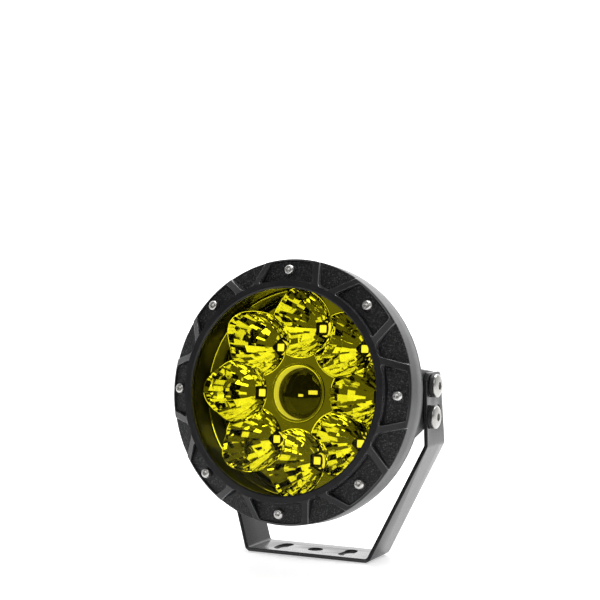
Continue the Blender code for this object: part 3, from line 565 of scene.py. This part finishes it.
def screw_head(name, radius, height, socket, shank, length, steps=48):
    """A domed screw with a hexagon socket; z = 0 is under its head."""
    angles = np.arange(steps) * TAU / steps
    hexagon = hex_reach(angles, socket)
    flat = np.full(steps, 1.0)
    crown = socket * 1.28
    sizes = [(hexagon * 0.0, height * 0.36), (hexagon * 0.6, height * 0.40), (hexagon, height * 0.46),
             (hexagon, height - 0.12), (hexagon + 0.12, height)]
    sizes.append((flat * max(crown, float(hexagon.max()) + 0.25), height))
    low = height * 0.30
    for step in range(1, 9):
        turn = math.pi / 2 * step / 8
        reach = crown + 0.1 + (radius - crown - 0.1) * math.sin(turn)
        sizes.append((flat * reach, low + (height - low) * math.cos(turn)))
    sizes += [(flat * radius, 0.12), (flat * (radius - 0.12), 0), (flat * shank, 0),
              (flat * shank, -length + 0.5), (flat * (shank - 0.4), -length), (flat * 0.0, -length)]
    rows = [[(r * math.sin(a), r * math.cos(a), z) for a, r in zip(angles, reach)] for reach, z in sizes]
    return grid_mesh(name, rows)


def build_bezel_screws():
    """Eight small screws round the bezel, each turned a little differently."""
    turns = [0.2, 1.1, 0.6, 1.7, 0.9, 2.3, 0.1, 1.4]
    for place, turn in enumerate(turns):
        mesh = screw_head("screw", 3.6, 4.0, 1.55, 2.0, 12.4)
        x, y = polar(SCREW_CIRCLE, TAU * place / SECTORS)
        spot = Matrix.Translation((x, y, SCREW_SEAT + 0.3)) @ Matrix.Rotation(turn, 4, "Z")
        placed(mesh, LAMP @ spot)
        piece(f"bezel_screw_{place + 1}_detail", mesh, [STAINLESS], "lamp",
              [f"bezel_screw_{place + 1}"])


def build_ear_bolts():
    """The four side bolts and the black washers under them."""
    for side, side_name in ((1, "right"), (-1, "left")):
        outward_turn = Matrix.Rotation(side * math.pi / 2, 4, "Y")
        for role, drop, turn in (("pivot", 0, 0.5), ("lock", LOCK_DROP, 0.1)):
            base = PIVOT_IN_LAMP + Vector((side * SIDE_SEAT, -drop, 0))
            profile = eased([(WASHER_HOLE, WASHER_THICKNESS), (WASHER_RADIUS, WASHER_THICKNESS),
                             (WASHER_RADIUS, 0), (WASHER_HOLE, 0)], 0.35, closed=True)
            washer = turned("washer", profile, 64, closed=True)
            placed(washer, LAMP @ Matrix.Translation(base) @ outward_turn)
            piece(f"{role}_washer_{side_name}_detail", washer, [NYLON], "lamp",
                  [f"{role}_washer_{side_name}"])
            bolt = screw_head("bolt", 8.0, 2.6, 2.55, 4.0, 14.8, 72)
            at = base + Vector((side * BOLT_STAND, 0, 0))
            spot = Matrix.Translation(at) @ outward_turn @ Matrix.Rotation(turn, 4, "Z")
            placed(bolt, LAMP @ spot)
            piece(f"{role}_bolt_{side_name}_detail", bolt, [BOLT_STEEL], "lamp",
                  [f"{role}_bolt_{side_name}"])


# ---------------------------------------------------------------- optics


def build_lens():
    """The yellow lens and the seal behind it."""
    profile = eased([(0, 7.0), (73.8, 7.0), (73.8, 3.0), (0, 3.0)], 0.35)
    mesh = placed(turned("lens", profile, 192), LAMP)
    piece("lens_pane", mesh, [YELLOW], "lamp", ["lens"], 40)
    profile = eased([(73.8, 2.7), (73.8, 0.7), (71.2, 0.7), (71.2, 2.7)], 0.4, closed=True)
    mesh = placed(turned("seal", profile, 160, closed=True), LAMP)
    piece("lens_seal", mesh, [RUBBER], "lamp", ["lens_gasket"])


def cup_top(radius):
    """Height of a cup's rim, which climbs towards the outside."""
    share = np.clip((radius - RIM_CLIMB_START) / (RING_RADIUS - RIM_CLIMB_START), 0, 1)
    return PLATE_Z + RIM_CLIMB * share ** 1.6


def cup_reach(angles):
    """Distance from a cup's axis to its rim in each direction; 0 points away from the lamp's axis."""
    reach = np.full(len(angles), CUP_RIM)
    for _ in range(12):
        across = CUP_CIRCLE + reach * np.cos(angles)
        out = np.hypot(across, reach * np.sin(angles))
        reach = 0.5 * reach + 0.5 * np.sqrt((cup_top(out) - CUP_VERTEX) * CUP_FOCUS)
    across = CUP_CIRCLE * np.sin(angles)
    limit = -CUP_CIRCLE * np.cos(angles) + np.sqrt(RING_RADIUS ** 2 - across ** 2)
    reach = np.minimum(reach, limit)
    for side in (1, -1):
        lean = np.cos(angles - side * (math.pi / 2 + HALF_SECTOR))
        plane = CUP_CIRCLE * math.sin(HALF_SECTOR) / np.maximum(lean, 0.001)
        reach = np.minimum(reach, plane)
    return reach


def soft_square(angles, half, power=5.0):
    """Radius of a square with rounded corners in each direction."""
    return half / (np.abs(np.cos(angles)) ** power + np.abs(np.sin(angles)) ** power) ** (1 / power)


def build_cup(place):
    """One parabolic cup made of small flat facets, with its thin rim."""
    facets, rings, per = FACETS_ROUND, len(FACET_RINGS) - 1, FACET_STEPS
    random = np.random.default_rng(40 + place)
    angles = np.arange(facets * per) * TAU / (facets * per)
    rim = cup_reach(angles)
    hole = soft_square(angles, 4.9)
    column = np.arange(facets * per)
    left, along = column // per, (column % per) / per
    right = (left + 1) % facets
    rows = []
    for ring, share in enumerate(FACET_RINGS):
        inside = 0 < ring < rings
        reach = (hole + (rim - hole) * share)[::per]
        reach = reach + inside * random.uniform(-0.4, 0.4, facets)
        wobble = inside * random.uniform(-0.16, 0.16, facets)
        height = CUP_VERTEX + reach ** 2 / CUP_FOCUS + wobble
        turn = angles[::per] + inside * random.uniform(-0.04, 0.04, facets)
        nodes = np.stack([reach * np.sin(turn), reach * np.cos(turn), height], -1)
        row = nodes[left] * (1 - along)[:, None] + nodes[right] * along[:, None]
        if not inside:
            reach = hole if ring == 0 else rim
            height = CUP_VERTEX + reach ** 2 / CUP_FOCUS
            row = np.stack([reach * np.sin(angles), reach * np.cos(angles), height], -1)
        rows.append(row)
    top = rows[-1][:, 2]
    for grow, lift in ((0.35, 0.12), (0.7, 0.0)):
        outer = rim + grow
        rows.append(np.stack([outer * np.sin(angles), outer * np.cos(angles), top + lift], -1))
    for row in rows[rings - 1::-1]:
        reach = np.hypot(row[:, 0], row[:, 1])
        grow = (reach + SHEET) / reach
        rows.append(np.stack([row[:, 0] * grow, row[:, 1] * grow, row[:, 2] - 0.8], -1))
    mesh = grid_mesh("cup", rows, closed_rows=True)
    turn = -TAU * place / CUPS
    placed(mesh, Matrix.Rotation(turn, 4, "Z") @ Matrix.Translation((0, CUP_CIRCLE, 0)))
    return mesh


def cup_chord():
    """Half the length of the line on which two neighbouring cups' rim circles meet."""
    return math.sqrt(CUP_RIM ** 2 - (CUP_CIRCLE * math.sin(HALF_SECTOR)) ** 2)


def outer_scallops():
    """The outline that the eight cups' rims make together on the outside."""
    points = []
    cusp_x, cusp_y = polar(CUP_CIRCLE * math.cos(HALF_SECTOR) + cup_chord(), HALF_SECTOR)
    reach = math.atan2(cusp_x, cusp_y - CUP_CIRCLE)
    for place in range(CUPS):
        for angle in np.linspace(-reach, reach, 33)[:-1]:
            spot = Vector((CUP_RIM * math.sin(angle), CUP_CIRCLE + CUP_RIM * math.cos(angle)))
            spot = Matrix.Rotation(-TAU * place / CUPS, 2) @ spot
            points.append((spot.x, spot.y))
    return points


def inner_scallops():
    """The star-shaped outline around the projector, between the cups' inner rims."""
    cusp = polar(CUP_CIRCLE * math.cos(HALF_SECTOR) - cup_chord(), HALF_SECTOR)
    half = math.atan2(cusp[0], CUP_CIRCLE - cusp[1])
    points = []
    for place in range(CUPS):
        for angle in np.linspace(-half, half, 25)[:-1]:
            spot = Vector((CUP_RIM * math.sin(angle), CUP_CIRCLE - CUP_RIM * math.cos(angle)))
            spot = Matrix.Rotation(-TAU * place / CUPS, 2) @ spot
            points.append((spot.x, spot.y))
    return points


def build_reflector():
    """Mirror-coated reflector: eight cups, the star plate, and the outer ring with its thin bead."""
    meshes = [build_cup(place) for place in range(CUPS)]
    low = PLATE_Z - SHEET
    star = plate("star", [inner_scallops(), circle((0, 0), 20.5, 96)], low, PLATE_Z, 0.12)
    ring = plate("ring", [circle((0, 0), 71.8, 192), outer_scallops()], low, PLATE_Z, 0.12)
    bead = [(RING_RADIUS + 0.45 * math.cos(a), PLATE_Z + 0.25 + 0.45 * math.sin(a))
            for a in np.arange(10) * TAU / 10]
    bead = turned("bead", bead, 256, closed=True)
    mesh = placed(joined("reflector", [*meshes, star, ring, bead]), LAMP)
    piece("reflector_cups", mesh, [MIRROR], "lamp", ["reflector"], 0.5)


def build_projector():
    """The middle barrel, whose inner wall glows as painted light standing in for the chips' light
    falling on it, its dark dome and the two chips behind it.
    """
    profile = eased([(BARREL_RADIUS, -16.2), (BARREL_RADIUS, -52.6), (BARREL_BORE, -52.6),
                     (BARREL_BORE, -31.0), (BARREL_MOUTH, -31.0), (BARREL_MOUTH, -25.5), (18.5, -16.3)],
                    0.15, closed=True)
    mouth = BARREL_RADIUS - 0.05
    # Band 2, the inner wall behind the mouth, carries the painted glow of the chips' light.
    bands = [(2 if z < -16.6 else 1) if z > -25.6 and r < mouth else 0 for r, z in profile]
    barrel = turned("barrel", profile, 128, closed=True, bands=bands)
    shield = plate("shield", [circle((0, 0), 15.2, 64)], -32.6, -31.6, 0.1)
    mesh = placed(joined("barrel", [barrel, shield]), LAMP)
    piece("projector_body", mesh, [BORE_BLACK, MIRROR, CHIP_LIGHT_GLOW], "lamp",
          ["projector_barrel"])
    dome = [(DOME_RADIUS * math.sin(a), DOME_EDGE_Z + DOME_RISE * math.cos(a))
            for a in np.linspace(0, math.pi / 2, 20)]
    profile = dome + [(DOME_RADIUS, -29.3), (DOME_RADIUS - 0.3, -29.6), (0, -29.6)]
    mesh = placed(turned("dome", profile, 128), LAMP)
    piece("projector_dome", mesh, [DARK_GLASS], "lamp", ["projector_lens"], 40)
    for place, (x, y, width, height) in enumerate(((4.6, 1.0, 3.25, 1.4), (-4.8, -1.3, 1.6, 0.9))):
        corners = [(a, b, c) for a in (x - width, x + width) for b in (y - height, y + height)
                   for c in (CHIP_BACK, CHIP_FRONT)]
        chip = placed(hull("chip", corners, 0.15), LAMP)
        piece(f"projector_chip_{place + 1}", chip, [BRIGHT_CHIP], "lamp")


def emitter(name):
    """One LED: a slim black package with a raised square of phosphor in the middle."""
    steps = 48
    angles = np.arange(steps) * TAU / steps
    sizes = [(0.0, 4, 1.05), (2.45, 14, 1.05), (2.65, 14, 0.95), (2.7, 14, 0.7), (4.5, 5, 0.65),
             (4.7, 5, 0.45), (4.7, 5, 0.0), (0.0, 5, 0.0)]
    rows = []
    for half, power, z in sizes:
        outline = soft_square(angles, half, power)
        rows.append([(r * math.sin(a), r * math.cos(a), z) for a, r in zip(angles, outline)])
    bands = np.array([1, 1, 0, 0, 0, 0, 0])[:, None]
    return grid_mesh(name, rows, bands=bands)


def build_lights():
    """LEDs, their board and the pad behind it."""
    for place in range(CUPS):
        x, y = polar(CUP_CIRCLE, TAU * place / CUPS)
        mesh = placed(emitter("led"), LAMP @ Matrix.Translation((x, y, BOARD_Z + LED_GAP)))
        piece(f"led_{place + 1}_detail", mesh, [BOARD, PHOSPHOR], "lamp",
              [f"led_{place + 1}"])
    mesh = placed(emitter("led"), LAMP @ Matrix.Translation((0, 0, BOARD_Z + LED_GAP)))
    piece("led_centre_detail", mesh, [BOARD, PHOSPHOR], "lamp", ["led_centre"])
    mesh = placed(plate("board", [circle((0, 0), 57.8, 160)], BOARD_Z - 1.6, BOARD_Z, 0.1), LAMP)
    piece("led_board_detail", mesh, [BOARD], "lamp", ["led_board"])
    mesh = placed(plate("pad", [circle((0, 0), 56.8, 128), circle((24, 0), 4.5, 32)],
                        BOARD_Z - 2.9, BOARD_Z - 1.9, 0.1), LAMP)
    piece("thermal_pad_detail", mesh, [SILICONE], "lamp", ["thermal_pad"])


# ---------------------------------------------------------------- housing


def boss_block(side):
    """A side boss with a sloping underside and rounded edges."""
    points = []
    for z, bottom, low, inner in ((-24.0, -21.0, -29.0, 69.0), (-52.0, -21.0, -29.0, 60.5),
                                  (-70.0, -14.5, -16.0, 50.0)):
        points += [(side * 79.55, 19.5, z), (side * 79.55, bottom, z), (side * 72.0, low, z),
                   (side * inner, low - 3.0, z), (side * inner, 21.5, z)]
    return hull("boss", points, 1.2)


def fin_plate(x):
    """One upright cooling fin, in one or two pieces where the rear chamber interrupts it."""
    reach = math.sqrt(FIN_CIRCLE ** 2 - (abs(x) + FIN_HALF) ** 2)
    base, shoulder, back = -61.0, -70.0, -89.8
    taper = 8.5
    meshes = []
    if abs(x) < 37.0:
        near = math.sqrt(CHAMBER ** 2 - x ** 2)
        tip = max(reach - taper, near + 3)
        outline = [(near, base), (reach, base), (reach, shoulder), (tip, back), (near, back)]
        rounding = [0, 0, 4, 2, 0]
        outlines = [outline, [(-y, z) for y, z in outline]]
    else:
        outlines = [[(-reach, base), (reach, base), (reach, shoulder), (reach - taper, back),
                     (-reach + taper, back), (-reach, shoulder)]]
        rounding = [0, 0, 4, 2.5, 2.5, 4]
    for outline in outlines:
        points = eased(outline, rounding, 4, closed=True)
        fin = plate("fin", [points], x - FIN_HALF, x + FIN_HALF, 0.45)
        sideways = Matrix(((0, 0, 1, 0), (1, 0, 0, 0), (0, 1, 0, 0), (0, 0, 0, 1)))
        meshes.append(placed(fin, sideways))
    return meshes


def build_housing():
    """The cast body: collar, flange, tapered waist, bosses, fins and the rear chamber."""
    outside = [(73.8, 0.4), (73.8, -3.4), (86.6, -3.4), (86.6, -19.7), (89.5, -19.7), (89.5, -22.1),
               (74.0, -26.5), (71.5, -31.0), (62.5, -60.0), (60.0, -62.5), (38.5, -62.5), (38.5, -92.8),
               (33.0, -92.8), (33.0, -62.0), (4.0, -62.0), (4.0, -56.2)]
    inside = [(58.5, -56.2), (58.5, -54.0), (70.2, -22.0), (70.2, -19.0), (72.3, -19.0), (72.3, 0.4)]
    rounding = [0.2, 0.2, 0.3, 0.2, 0.4, 0.6, 3, 3, 1.2, 1.2, 1.5, 0.5, 0.3, 0.3, 0.2, 0.2]
    rounding += [0.3, 1, 1, 0.2, 0.2, 0.2]
    profile = eased(outside + inside, rounding, 4, closed=True)
    bands = [int(z > -56.0 and 50 < r < min(72.6, 60.8 + (z + 54.0) * 0.366)) for r, z in profile]
    meshes = [turned("body", profile, 192, closed=True, bands=bands)]
    for side in (1, -1):
        meshes.append(boss_block(side))
    for place in range(-6, 7):
        meshes += fin_plate(place * FIN_PITCH)
    mesh = placed(joined("housing", meshes), LAMP)
    piece("housing_body", mesh, [HOUSING_CAST, BORE_BLACK], "lamp", ["housing"])


# ---------------------------------------------------------------- rear


def build_rear():
    """Rear cover, its seal, screws, vent plug and cable gland."""
    spots = [polar(COVER_SCREW_CIRCLE, math.pi / 4 + place * math.pi / 2) for place in range(4)]
    holes = [circle(spot, 1.8, 24) for spot in spots]
    gland, vent = (0, -15.0), (14.0, 14.0)
    top = REAR_FACE
    rings = [circle((0, 0), COVER_RADIUS, 128), circle((0, 0), 33.1, 128)]
    seal = plate("seal", rings + holes, top - 1.0, top, 0.15)
    piece("rear_seal_detail", placed(seal, LAMP), [RUBBER], "lamp", ["rear_seal"])
    back = top - 1.3 - COVER_THICKNESS
    rings = [circle((0, 0), COVER_RADIUS, 128), circle(gland, 6.3, 48), circle(vent, 3.3, 32)]
    cover = plate("cover", rings + holes, back, back + COVER_THICKNESS, 0.5)
    piece("rear_cover_detail", placed(cover, LAMP), [HOUSING_CAST], "lamp",
          ["rear_cover"])
    backward = Matrix.Rotation(math.pi, 4, "X")
    for place, (x, y) in enumerate(spots):
        mesh = screw_head("rear_screw", 2.8, 2.0, 1.15, 1.5, 9.4, 36)
        spot = Matrix.Translation((x, y, back - 0.3)) @ backward
        placed(mesh, LAMP @ spot @ Matrix.Rotation(0.4 * place, 4, "Z"))
        piece(f"rear_cover_screw_{place + 1}_detail", mesh, [STAINLESS], "lamp",
              [f"rear_cover_screw_{place + 1}"])
    base = back - 0.3
    profile = eased([(6.0, base + 5.3), (6.0, base), (8.2, base), (8.2, base - 2.2), (6.0, base - 2.2),
                     (6.0, base - 6.5), (3.4, base - 6.5), (3.4, base + 5.3)], 0.25, closed=True)
    mesh = placed(turned("gland", profile, 64, closed=True), LAMP @ Matrix.Translation((*gland, 0)))
    piece("cable_gland_detail", mesh, [PLASTIC], "lamp", ["cable_gland"])
    piece("gland_nut_detail", placed(gland_nut(base - 2.5), LAMP @ Matrix.Translation((*gland, 0))),
          [PLASTIC], "lamp", ["gland_nut"])
    profile = eased([(0, base + 4.3), (3.0, base + 4.3), (3.0, base), (5.5, base), (5.5, base - 1.8),
                     (4.5, base - 2.8), (1.2, base - 2.8), (1.0, base - 2.2), (0, base - 2.2)], 0.25)
    mesh = placed(turned("vent", profile, 48), LAMP @ Matrix.Translation((*vent, 0)))
    piece("vent_plug_detail", mesh, [PLASTIC], "lamp", ["vent_plug"])


def gland_nut(top):
    """A hexagonal clamping nut with a rounded nose."""
    steps = 72
    angles = np.arange(steps) * TAU / steps
    hexagon = hex_reach(angles, 7.9)
    flat = np.full(steps, 1.0)
    sizes = [(flat * 6.4, top), (np.minimum(hexagon, 8.6), top), (hexagon, top - 0.4),
             (hexagon, top - 4.6), (np.minimum(hexagon, 8.4), top - 5.1), (flat * 7.6, top - 5.6),
             (flat * 7.0, top - 6.6), (flat * 6.0, top - 7.4), (flat * 4.4, top - 7.5),
             (flat * 4.1, top - 7.2), (flat * 4.1, top - 4.8), (flat * 6.4, top - 4.8)]
    rows = [[(r * math.sin(a), r * math.cos(a), z) for a, r in zip(angles, reach)] for reach, z in sizes]
    return grid_mesh("nut", rows, closed_rows=True)


def build_driver():
    """The driver board and its parts, hidden in the rear chamber."""
    mesh = placed(plate("driver", [circle((0, 0), 31.0, 96)], -75.6, -74.0, 0.1), LAMP)
    piece("driver_board_detail", mesh, [GREEN_BOARD], "lamp", ["driver_board"])
    back = DRIVER_BACK
    profile = eased([(7.5, 0), (7.5, -6.0), (3.5, -6.0), (3.5, 0)], 1.4, 4, closed=True)
    angles = np.arange(96) * TAU / 96
    rows = []
    for radius, z in profile:
        rows.append([((radius + 0.16 * math.cos(24 * a)) * math.sin(a),
                      (radius + 0.16 * math.cos(24 * a)) * math.cos(a), z) for a in angles])
    coil = grid_mesh("coil", rows, closed_rows=True)
    placed(coil, LAMP @ Matrix.Translation((-16.0, 8.0, back)))
    piece("driver_inductor_detail", coil, [COPPER], "lamp", ["driver_inductor"])
    for place, x in enumerate((0.0, 10.0)):
        profile = eased([(0, -8.5), (3.0, -8.5), (4.0, -8.5), (4.0, -1.6), (3.7, -1.2), (4.0, -0.8),
                         (4.0, 0), (0, 0)], 0.3)
        can = placed(turned("can", profile, 48), LAMP @ Matrix.Translation((x, 20.0, back)))
        piece(f"driver_capacitor_{place + 1}_detail", can, [CAN], "lamp",
              [f"driver_capacitor_{place + 1}"])
    corners = [(x, y, z) for x in (-5.0, 5.0) for y in (-4.5, 4.5) for z in (-4.5, 0.0)]
    chip = placed(hull("chip", corners, 0.3), LAMP @ Matrix.Translation((16.0, 4.0, back)))
    piece("driver_switch_detail", chip, [PLASTIC], "lamp", ["driver_switch"])


# ---------------------------------------------------------------- bracket


STRAP = 2.7
EAR_X = 82.6
BASE_X = 48.2
BEND_Z = 80.0
BEND_RADIUS = 5.2
EAR_TOP = 130.7
BASE_SLOT_PITCH = 26.2
BASE_SLOT_HALF_WIDTH = 4.5
BASE_SLOT_HALF_ANGLE = math.radians(13)
BOLT_HOLE = 4.3
LOCK_SLOT = (math.radians(-9), math.radians(33))
LEAN = math.atan2(BEND_Z, EAR_X - BASE_X)


def strap_path():
    """The strap's middle line from the base's centre to an ear's top: lengths along it and points."""
    half = STRAP / 2
    corner_base = Vector((BASE_X - half * math.tan(LEAN / 2), half))
    corner_ear = Vector((EAR_X - half, BEND_Z + half * math.tan((math.pi / 2 - LEAN) / 2)))
    top = Vector((EAR_X - half, EAR_TOP))
    points = eased([(0, half), tuple(corner_base), tuple(corner_ear), tuple(top)],
                   BEND_RADIUS - half, 10)
    points = [Vector(point) for point in points]
    lengths = [0.0]
    for before, after in zip(points, points[1:]):
        lengths.append(lengths[-1] + (after - before).length)
    return np.array(lengths), np.array([[p.x, p.y] for p in points])


def build_bracket():
    """The bent strap: drawn flat with rounded edges and holes, then folded along its bends."""
    lengths, line = strap_path()
    bend_base = float(np.interp(BASE_X - 1.2, line[:, 0], lengths))
    bend_ear = float(np.interp(BEND_Z, line[:, 1], lengths))
    top = float(lengths[-1])

    def along(z):
        return top - (EAR_TOP - z)

    right = [(bend_base, -15.7), (bend_ear, 5.4), (top - BEND_RADIUS, 2.1), (top, 7.3), (top, 29.5),
             (bend_ear, 39.2), (bend_base, 19.0)]
    radii = [3, 10, 2, 2, 5, 10, 3]
    left = [(-s, y) for s, y in reversed(right)]
    outline = eased(right + left, radii + radii[::-1], 6, closed=True)
    down = -math.pi / 2
    loops = [outline, circle((0, 0), 5.4, 48)]
    for side in (1, -1):
        facing = 0 if side == 1 else math.pi
        loops.append(arc_slot((0, 0), BASE_SLOT_PITCH, BASE_SLOT_HALF_WIDTH,
                              facing - BASE_SLOT_HALF_ANGLE, facing + BASE_SLOT_HALF_ANGLE))
        hole = circle((0, 0), BOLT_HOLE, 40)
        loops.append([(side * along(PIVOT_Z + z), PIVOT_Y + y) for y, z in hole])
        slot = arc_slot((PIVOT_Y, PIVOT_Z), LOCK_DROP, BOLT_HOLE,
                        down + LOCK_SLOT[0], down + LOCK_SLOT[1])
        loops.append([(side * along(z), y) for y, z in slot])
    mesh = plate("bracket", loops, -STRAP / 2, STRAP / 2, 0.35)
    fold(mesh, lengths, line)
    placed(mesh, UPRIGHT)
    piece("bracket_strap", mesh, [STRAP_BLACK], "bracket", ["bracket"])


def arc_slot(centre, pitch, half_width, start, end, count=10):
    """A slot along an arc with round ends; angles run counter-clockwise from +x."""
    tip_start = (centre[0] + pitch * math.cos(start), centre[1] + pitch * math.sin(start))
    tip_end = (centre[0] + pitch * math.cos(end), centre[1] + pitch * math.sin(end))
    outer = arc(centre, pitch + half_width, start, end, count)
    cap_end = arc(tip_end, half_width, end, end + math.pi, count)[1:-1]
    inner = arc(centre, pitch - half_width, end, start, count)
    cap_start = arc(tip_start, half_width, start + math.pi, start + TAU, count)[1:-1]
    return outer + cap_end + inner + cap_start


def fold(mesh, lengths, line):
    """Cut a flat strap across its bends and bend it along the middle line."""
    work = bmesh.new()
    work.from_mesh(mesh)
    for side in (1, -1):
        for cut in lengths[1:-1]:
            geometry = work.verts[:] + work.edges[:] + work.faces[:]
            bmesh.ops.bisect_plane(work, geom=geometry, plane_co=(side * cut, 0, 0), plane_no=(1, 0, 0))
    heading = np.gradient(line, lengths, axis=0)
    for vert in work.verts:
        s, y, n = vert.co
        side = 1 if s >= 0 else -1
        x = np.interp(abs(s), lengths, line[:, 0])
        z = np.interp(abs(s), lengths, line[:, 1])
        tx = np.interp(abs(s), lengths, heading[:, 0])
        tz = np.interp(abs(s), lengths, heading[:, 1])
        size = math.hypot(tx, tz)
        vert.co = (side * (x - n * tz / size), y, z + n * tx / size)
    bmesh.ops.remove_doubles(work, verts=work.verts, dist=0.001)
    bmesh.ops.recalc_face_normals(work, faces=work.faces)
    work.to_mesh(mesh)
    work.free()


# ---------------------------------------------------------------- stage

BACKDROP = 1.9
SIDE_BACKDROP = 0.42  # how much of the backdrop's light is left on its +x side
ROOM = 0.15
TOP_POWER = 7.0
FLOOR_GLOW = 0.5
FLOOR_HALF = 6
# Windows of light in front: left, right, bottom and top as slopes from the lamp, and strength.
SOFTBOXES = (
    (0.05, 0.95, 0.62, 1.70, 3.4),
    (-2.60, -1.30, 0.10, 1.10, 1.3),
    (1.50, 2.80, -0.20, 0.90, 1.05),
    (-0.95, -0.30, 0.95, 1.70, 1.2),
)


def area_light(name, place, target, size, power):
    """A soft rectangular lamp aimed at a point."""
    light = bpy.data.lights.new(name, "AREA")
    light.shape = "RECTANGLE"
    light.size, light.size_y = size
    light.energy = power
    made = bpy.data.objects.new(name, light)
    made.location = place
    made.rotation_euler = (Vector(target) - Vector(place)).to_track_quat("-Z", "Y").to_euler()
    bpy.context.scene.collection.objects.link(made)


def build_floor():
    """A wide pale floor with a faint glow, so that it stays white."""
    made, tree, shader = new_material("floor", (0.86, 0.86, 0.86), 0.6, specular=0.2)
    shader.inputs["Emission Color"].default_value = (1, 1, 1, 1)
    shader.inputs["Emission Strength"].default_value = FLOOR_GLOW
    tree.links.new(ramp(tree, noise(tree, 8, 3.0), 0.2, 0.8, (0.85, 0.85, 0.85), (0.88, 0.88, 0.88)),
                   shader.inputs["Base Color"])
    mesh = bpy.data.meshes.new("floor")
    corners = [(-FLOOR_HALF, -FLOOR_HALF, 0), (FLOOR_HALF, -FLOOR_HALF, 0),
               (FLOOR_HALF, FLOOR_HALF, 0), (-FLOOR_HALF, FLOOR_HALF, 0)]
    mesh.from_pydata(corners, [], [(0, 1, 2, 3)])
    mesh.materials.append(made)
    floor = bpy.data.objects.new("floor", mesh)
    floor.location.z = -0.0004
    bpy.context.scene.collection.objects.link(floor)


def build_world():
    """Bright backdrop behind, darker room in front with windows of soft light, and a top lamp."""
    world = bpy.data.worlds.new("studio")
    bpy.context.scene.world = world
    world.use_nodes = True
    tree = world.node_tree
    background = tree.nodes["Background"]
    place = tree.nodes.new("ShaderNodeTexCoord")
    split = tree.nodes.new("ShaderNodeSeparateXYZ")
    tree.links.new(place.outputs["Generated"], split.inputs["Vector"])
    x, y, z = (split.outputs[axis] for axis in "XYZ")
    total = smooth_step(tree, y, 0.0, 0.35, BACKDROP)
    side = smooth_step(tree, x, 0.50, 0.10, 1.0 - SIDE_BACKDROP)
    total = product(tree, "MULTIPLY", total, product(tree, "ADD", side, SIDE_BACKDROP))
    forward = product(tree, "MULTIPLY", y, -1.0)
    across = product(tree, "DIVIDE", x, forward)
    upward = product(tree, "DIVIDE", z, forward)
    for low_x, high_x, low_z, high_z, strength in SOFTBOXES:
        front = smooth_step(tree, y, 0.02, -0.02, strength)
        for value, low, high in ((across, low_x, high_x), (upward, low_z, high_z)):
            front = product(tree, "MULTIPLY", front, smooth_step(tree, value, low, low + 0.05, 1.0))
            front = product(tree, "MULTIPLY", front, smooth_step(tree, value, high, high - 0.05, 1.0))
        total = product(tree, "ADD", total, front)
    total = product(tree, "ADD", total, ROOM)
    tree.links.new(total, background.inputs["Strength"])
    background.inputs["Color"].default_value = (1, 1, 1, 1)
    area_light("top", (0.12, 0.38, 0.95), (0.05, 0.12, 0), (0.8, 0.5), TOP_POWER)


def smooth_step(tree, value, start, end, top):
    """Rise smoothly from 0 to top as a value goes from start to end."""
    made = tree.nodes.new("ShaderNodeMapRange")
    made.interpolation_type = "SMOOTHSTEP"
    made.inputs["From Min"].default_value = start
    made.inputs["From Max"].default_value = end
    made.inputs["To Max"].default_value = top
    tree.links.new(value, made.inputs["Value"])
    return made.outputs["Result"]


def product(tree, kind, first, second):
    """One arithmetic step between a value and a value or a number."""
    made = tree.nodes.new("ShaderNodeMath")
    made.operation = kind
    tree.links.new(first, made.inputs[0])
    if isinstance(second, float):
        made.inputs[1].default_value = second
    else:
        tree.links.new(second, made.inputs[1])
    return made.outputs["Value"]


def build_camera():
    """The camera, low and to the lamp's right, on a shifted lens."""
    data = bpy.data.cameras.new("camera")
    data.lens = 72.08
    data.sensor_width = 36.0
    data.shift_x = -0.00833
    data.shift_y = 0.18333
    data.dof.use_dof = False
    made = bpy.data.objects.new("camera", data)
    azimuth, elevation = math.radians(26.72), math.radians(4.94)
    back = Vector((math.sin(azimuth) * math.cos(elevation), -math.cos(azimuth) * math.cos(elevation),
                   math.sin(elevation)))
    made.location = (0.37417, -0.76008, 0.17577)
    made.rotation_euler = back.to_track_quat("Z", "Y").to_euler()
    bpy.context.scene.collection.objects.link(made)
    bpy.context.scene.camera = made
    bpy.context.scene.view_settings.view_transform = "Standard"


build_camera()
build_floor()
build_world()
build_bracket()
build_bezel()
build_bezel_screws()
build_ear_bolts()
build_lens()
build_reflector()
build_projector()
build_lights()
build_housing()
build_rear()
build_driver()
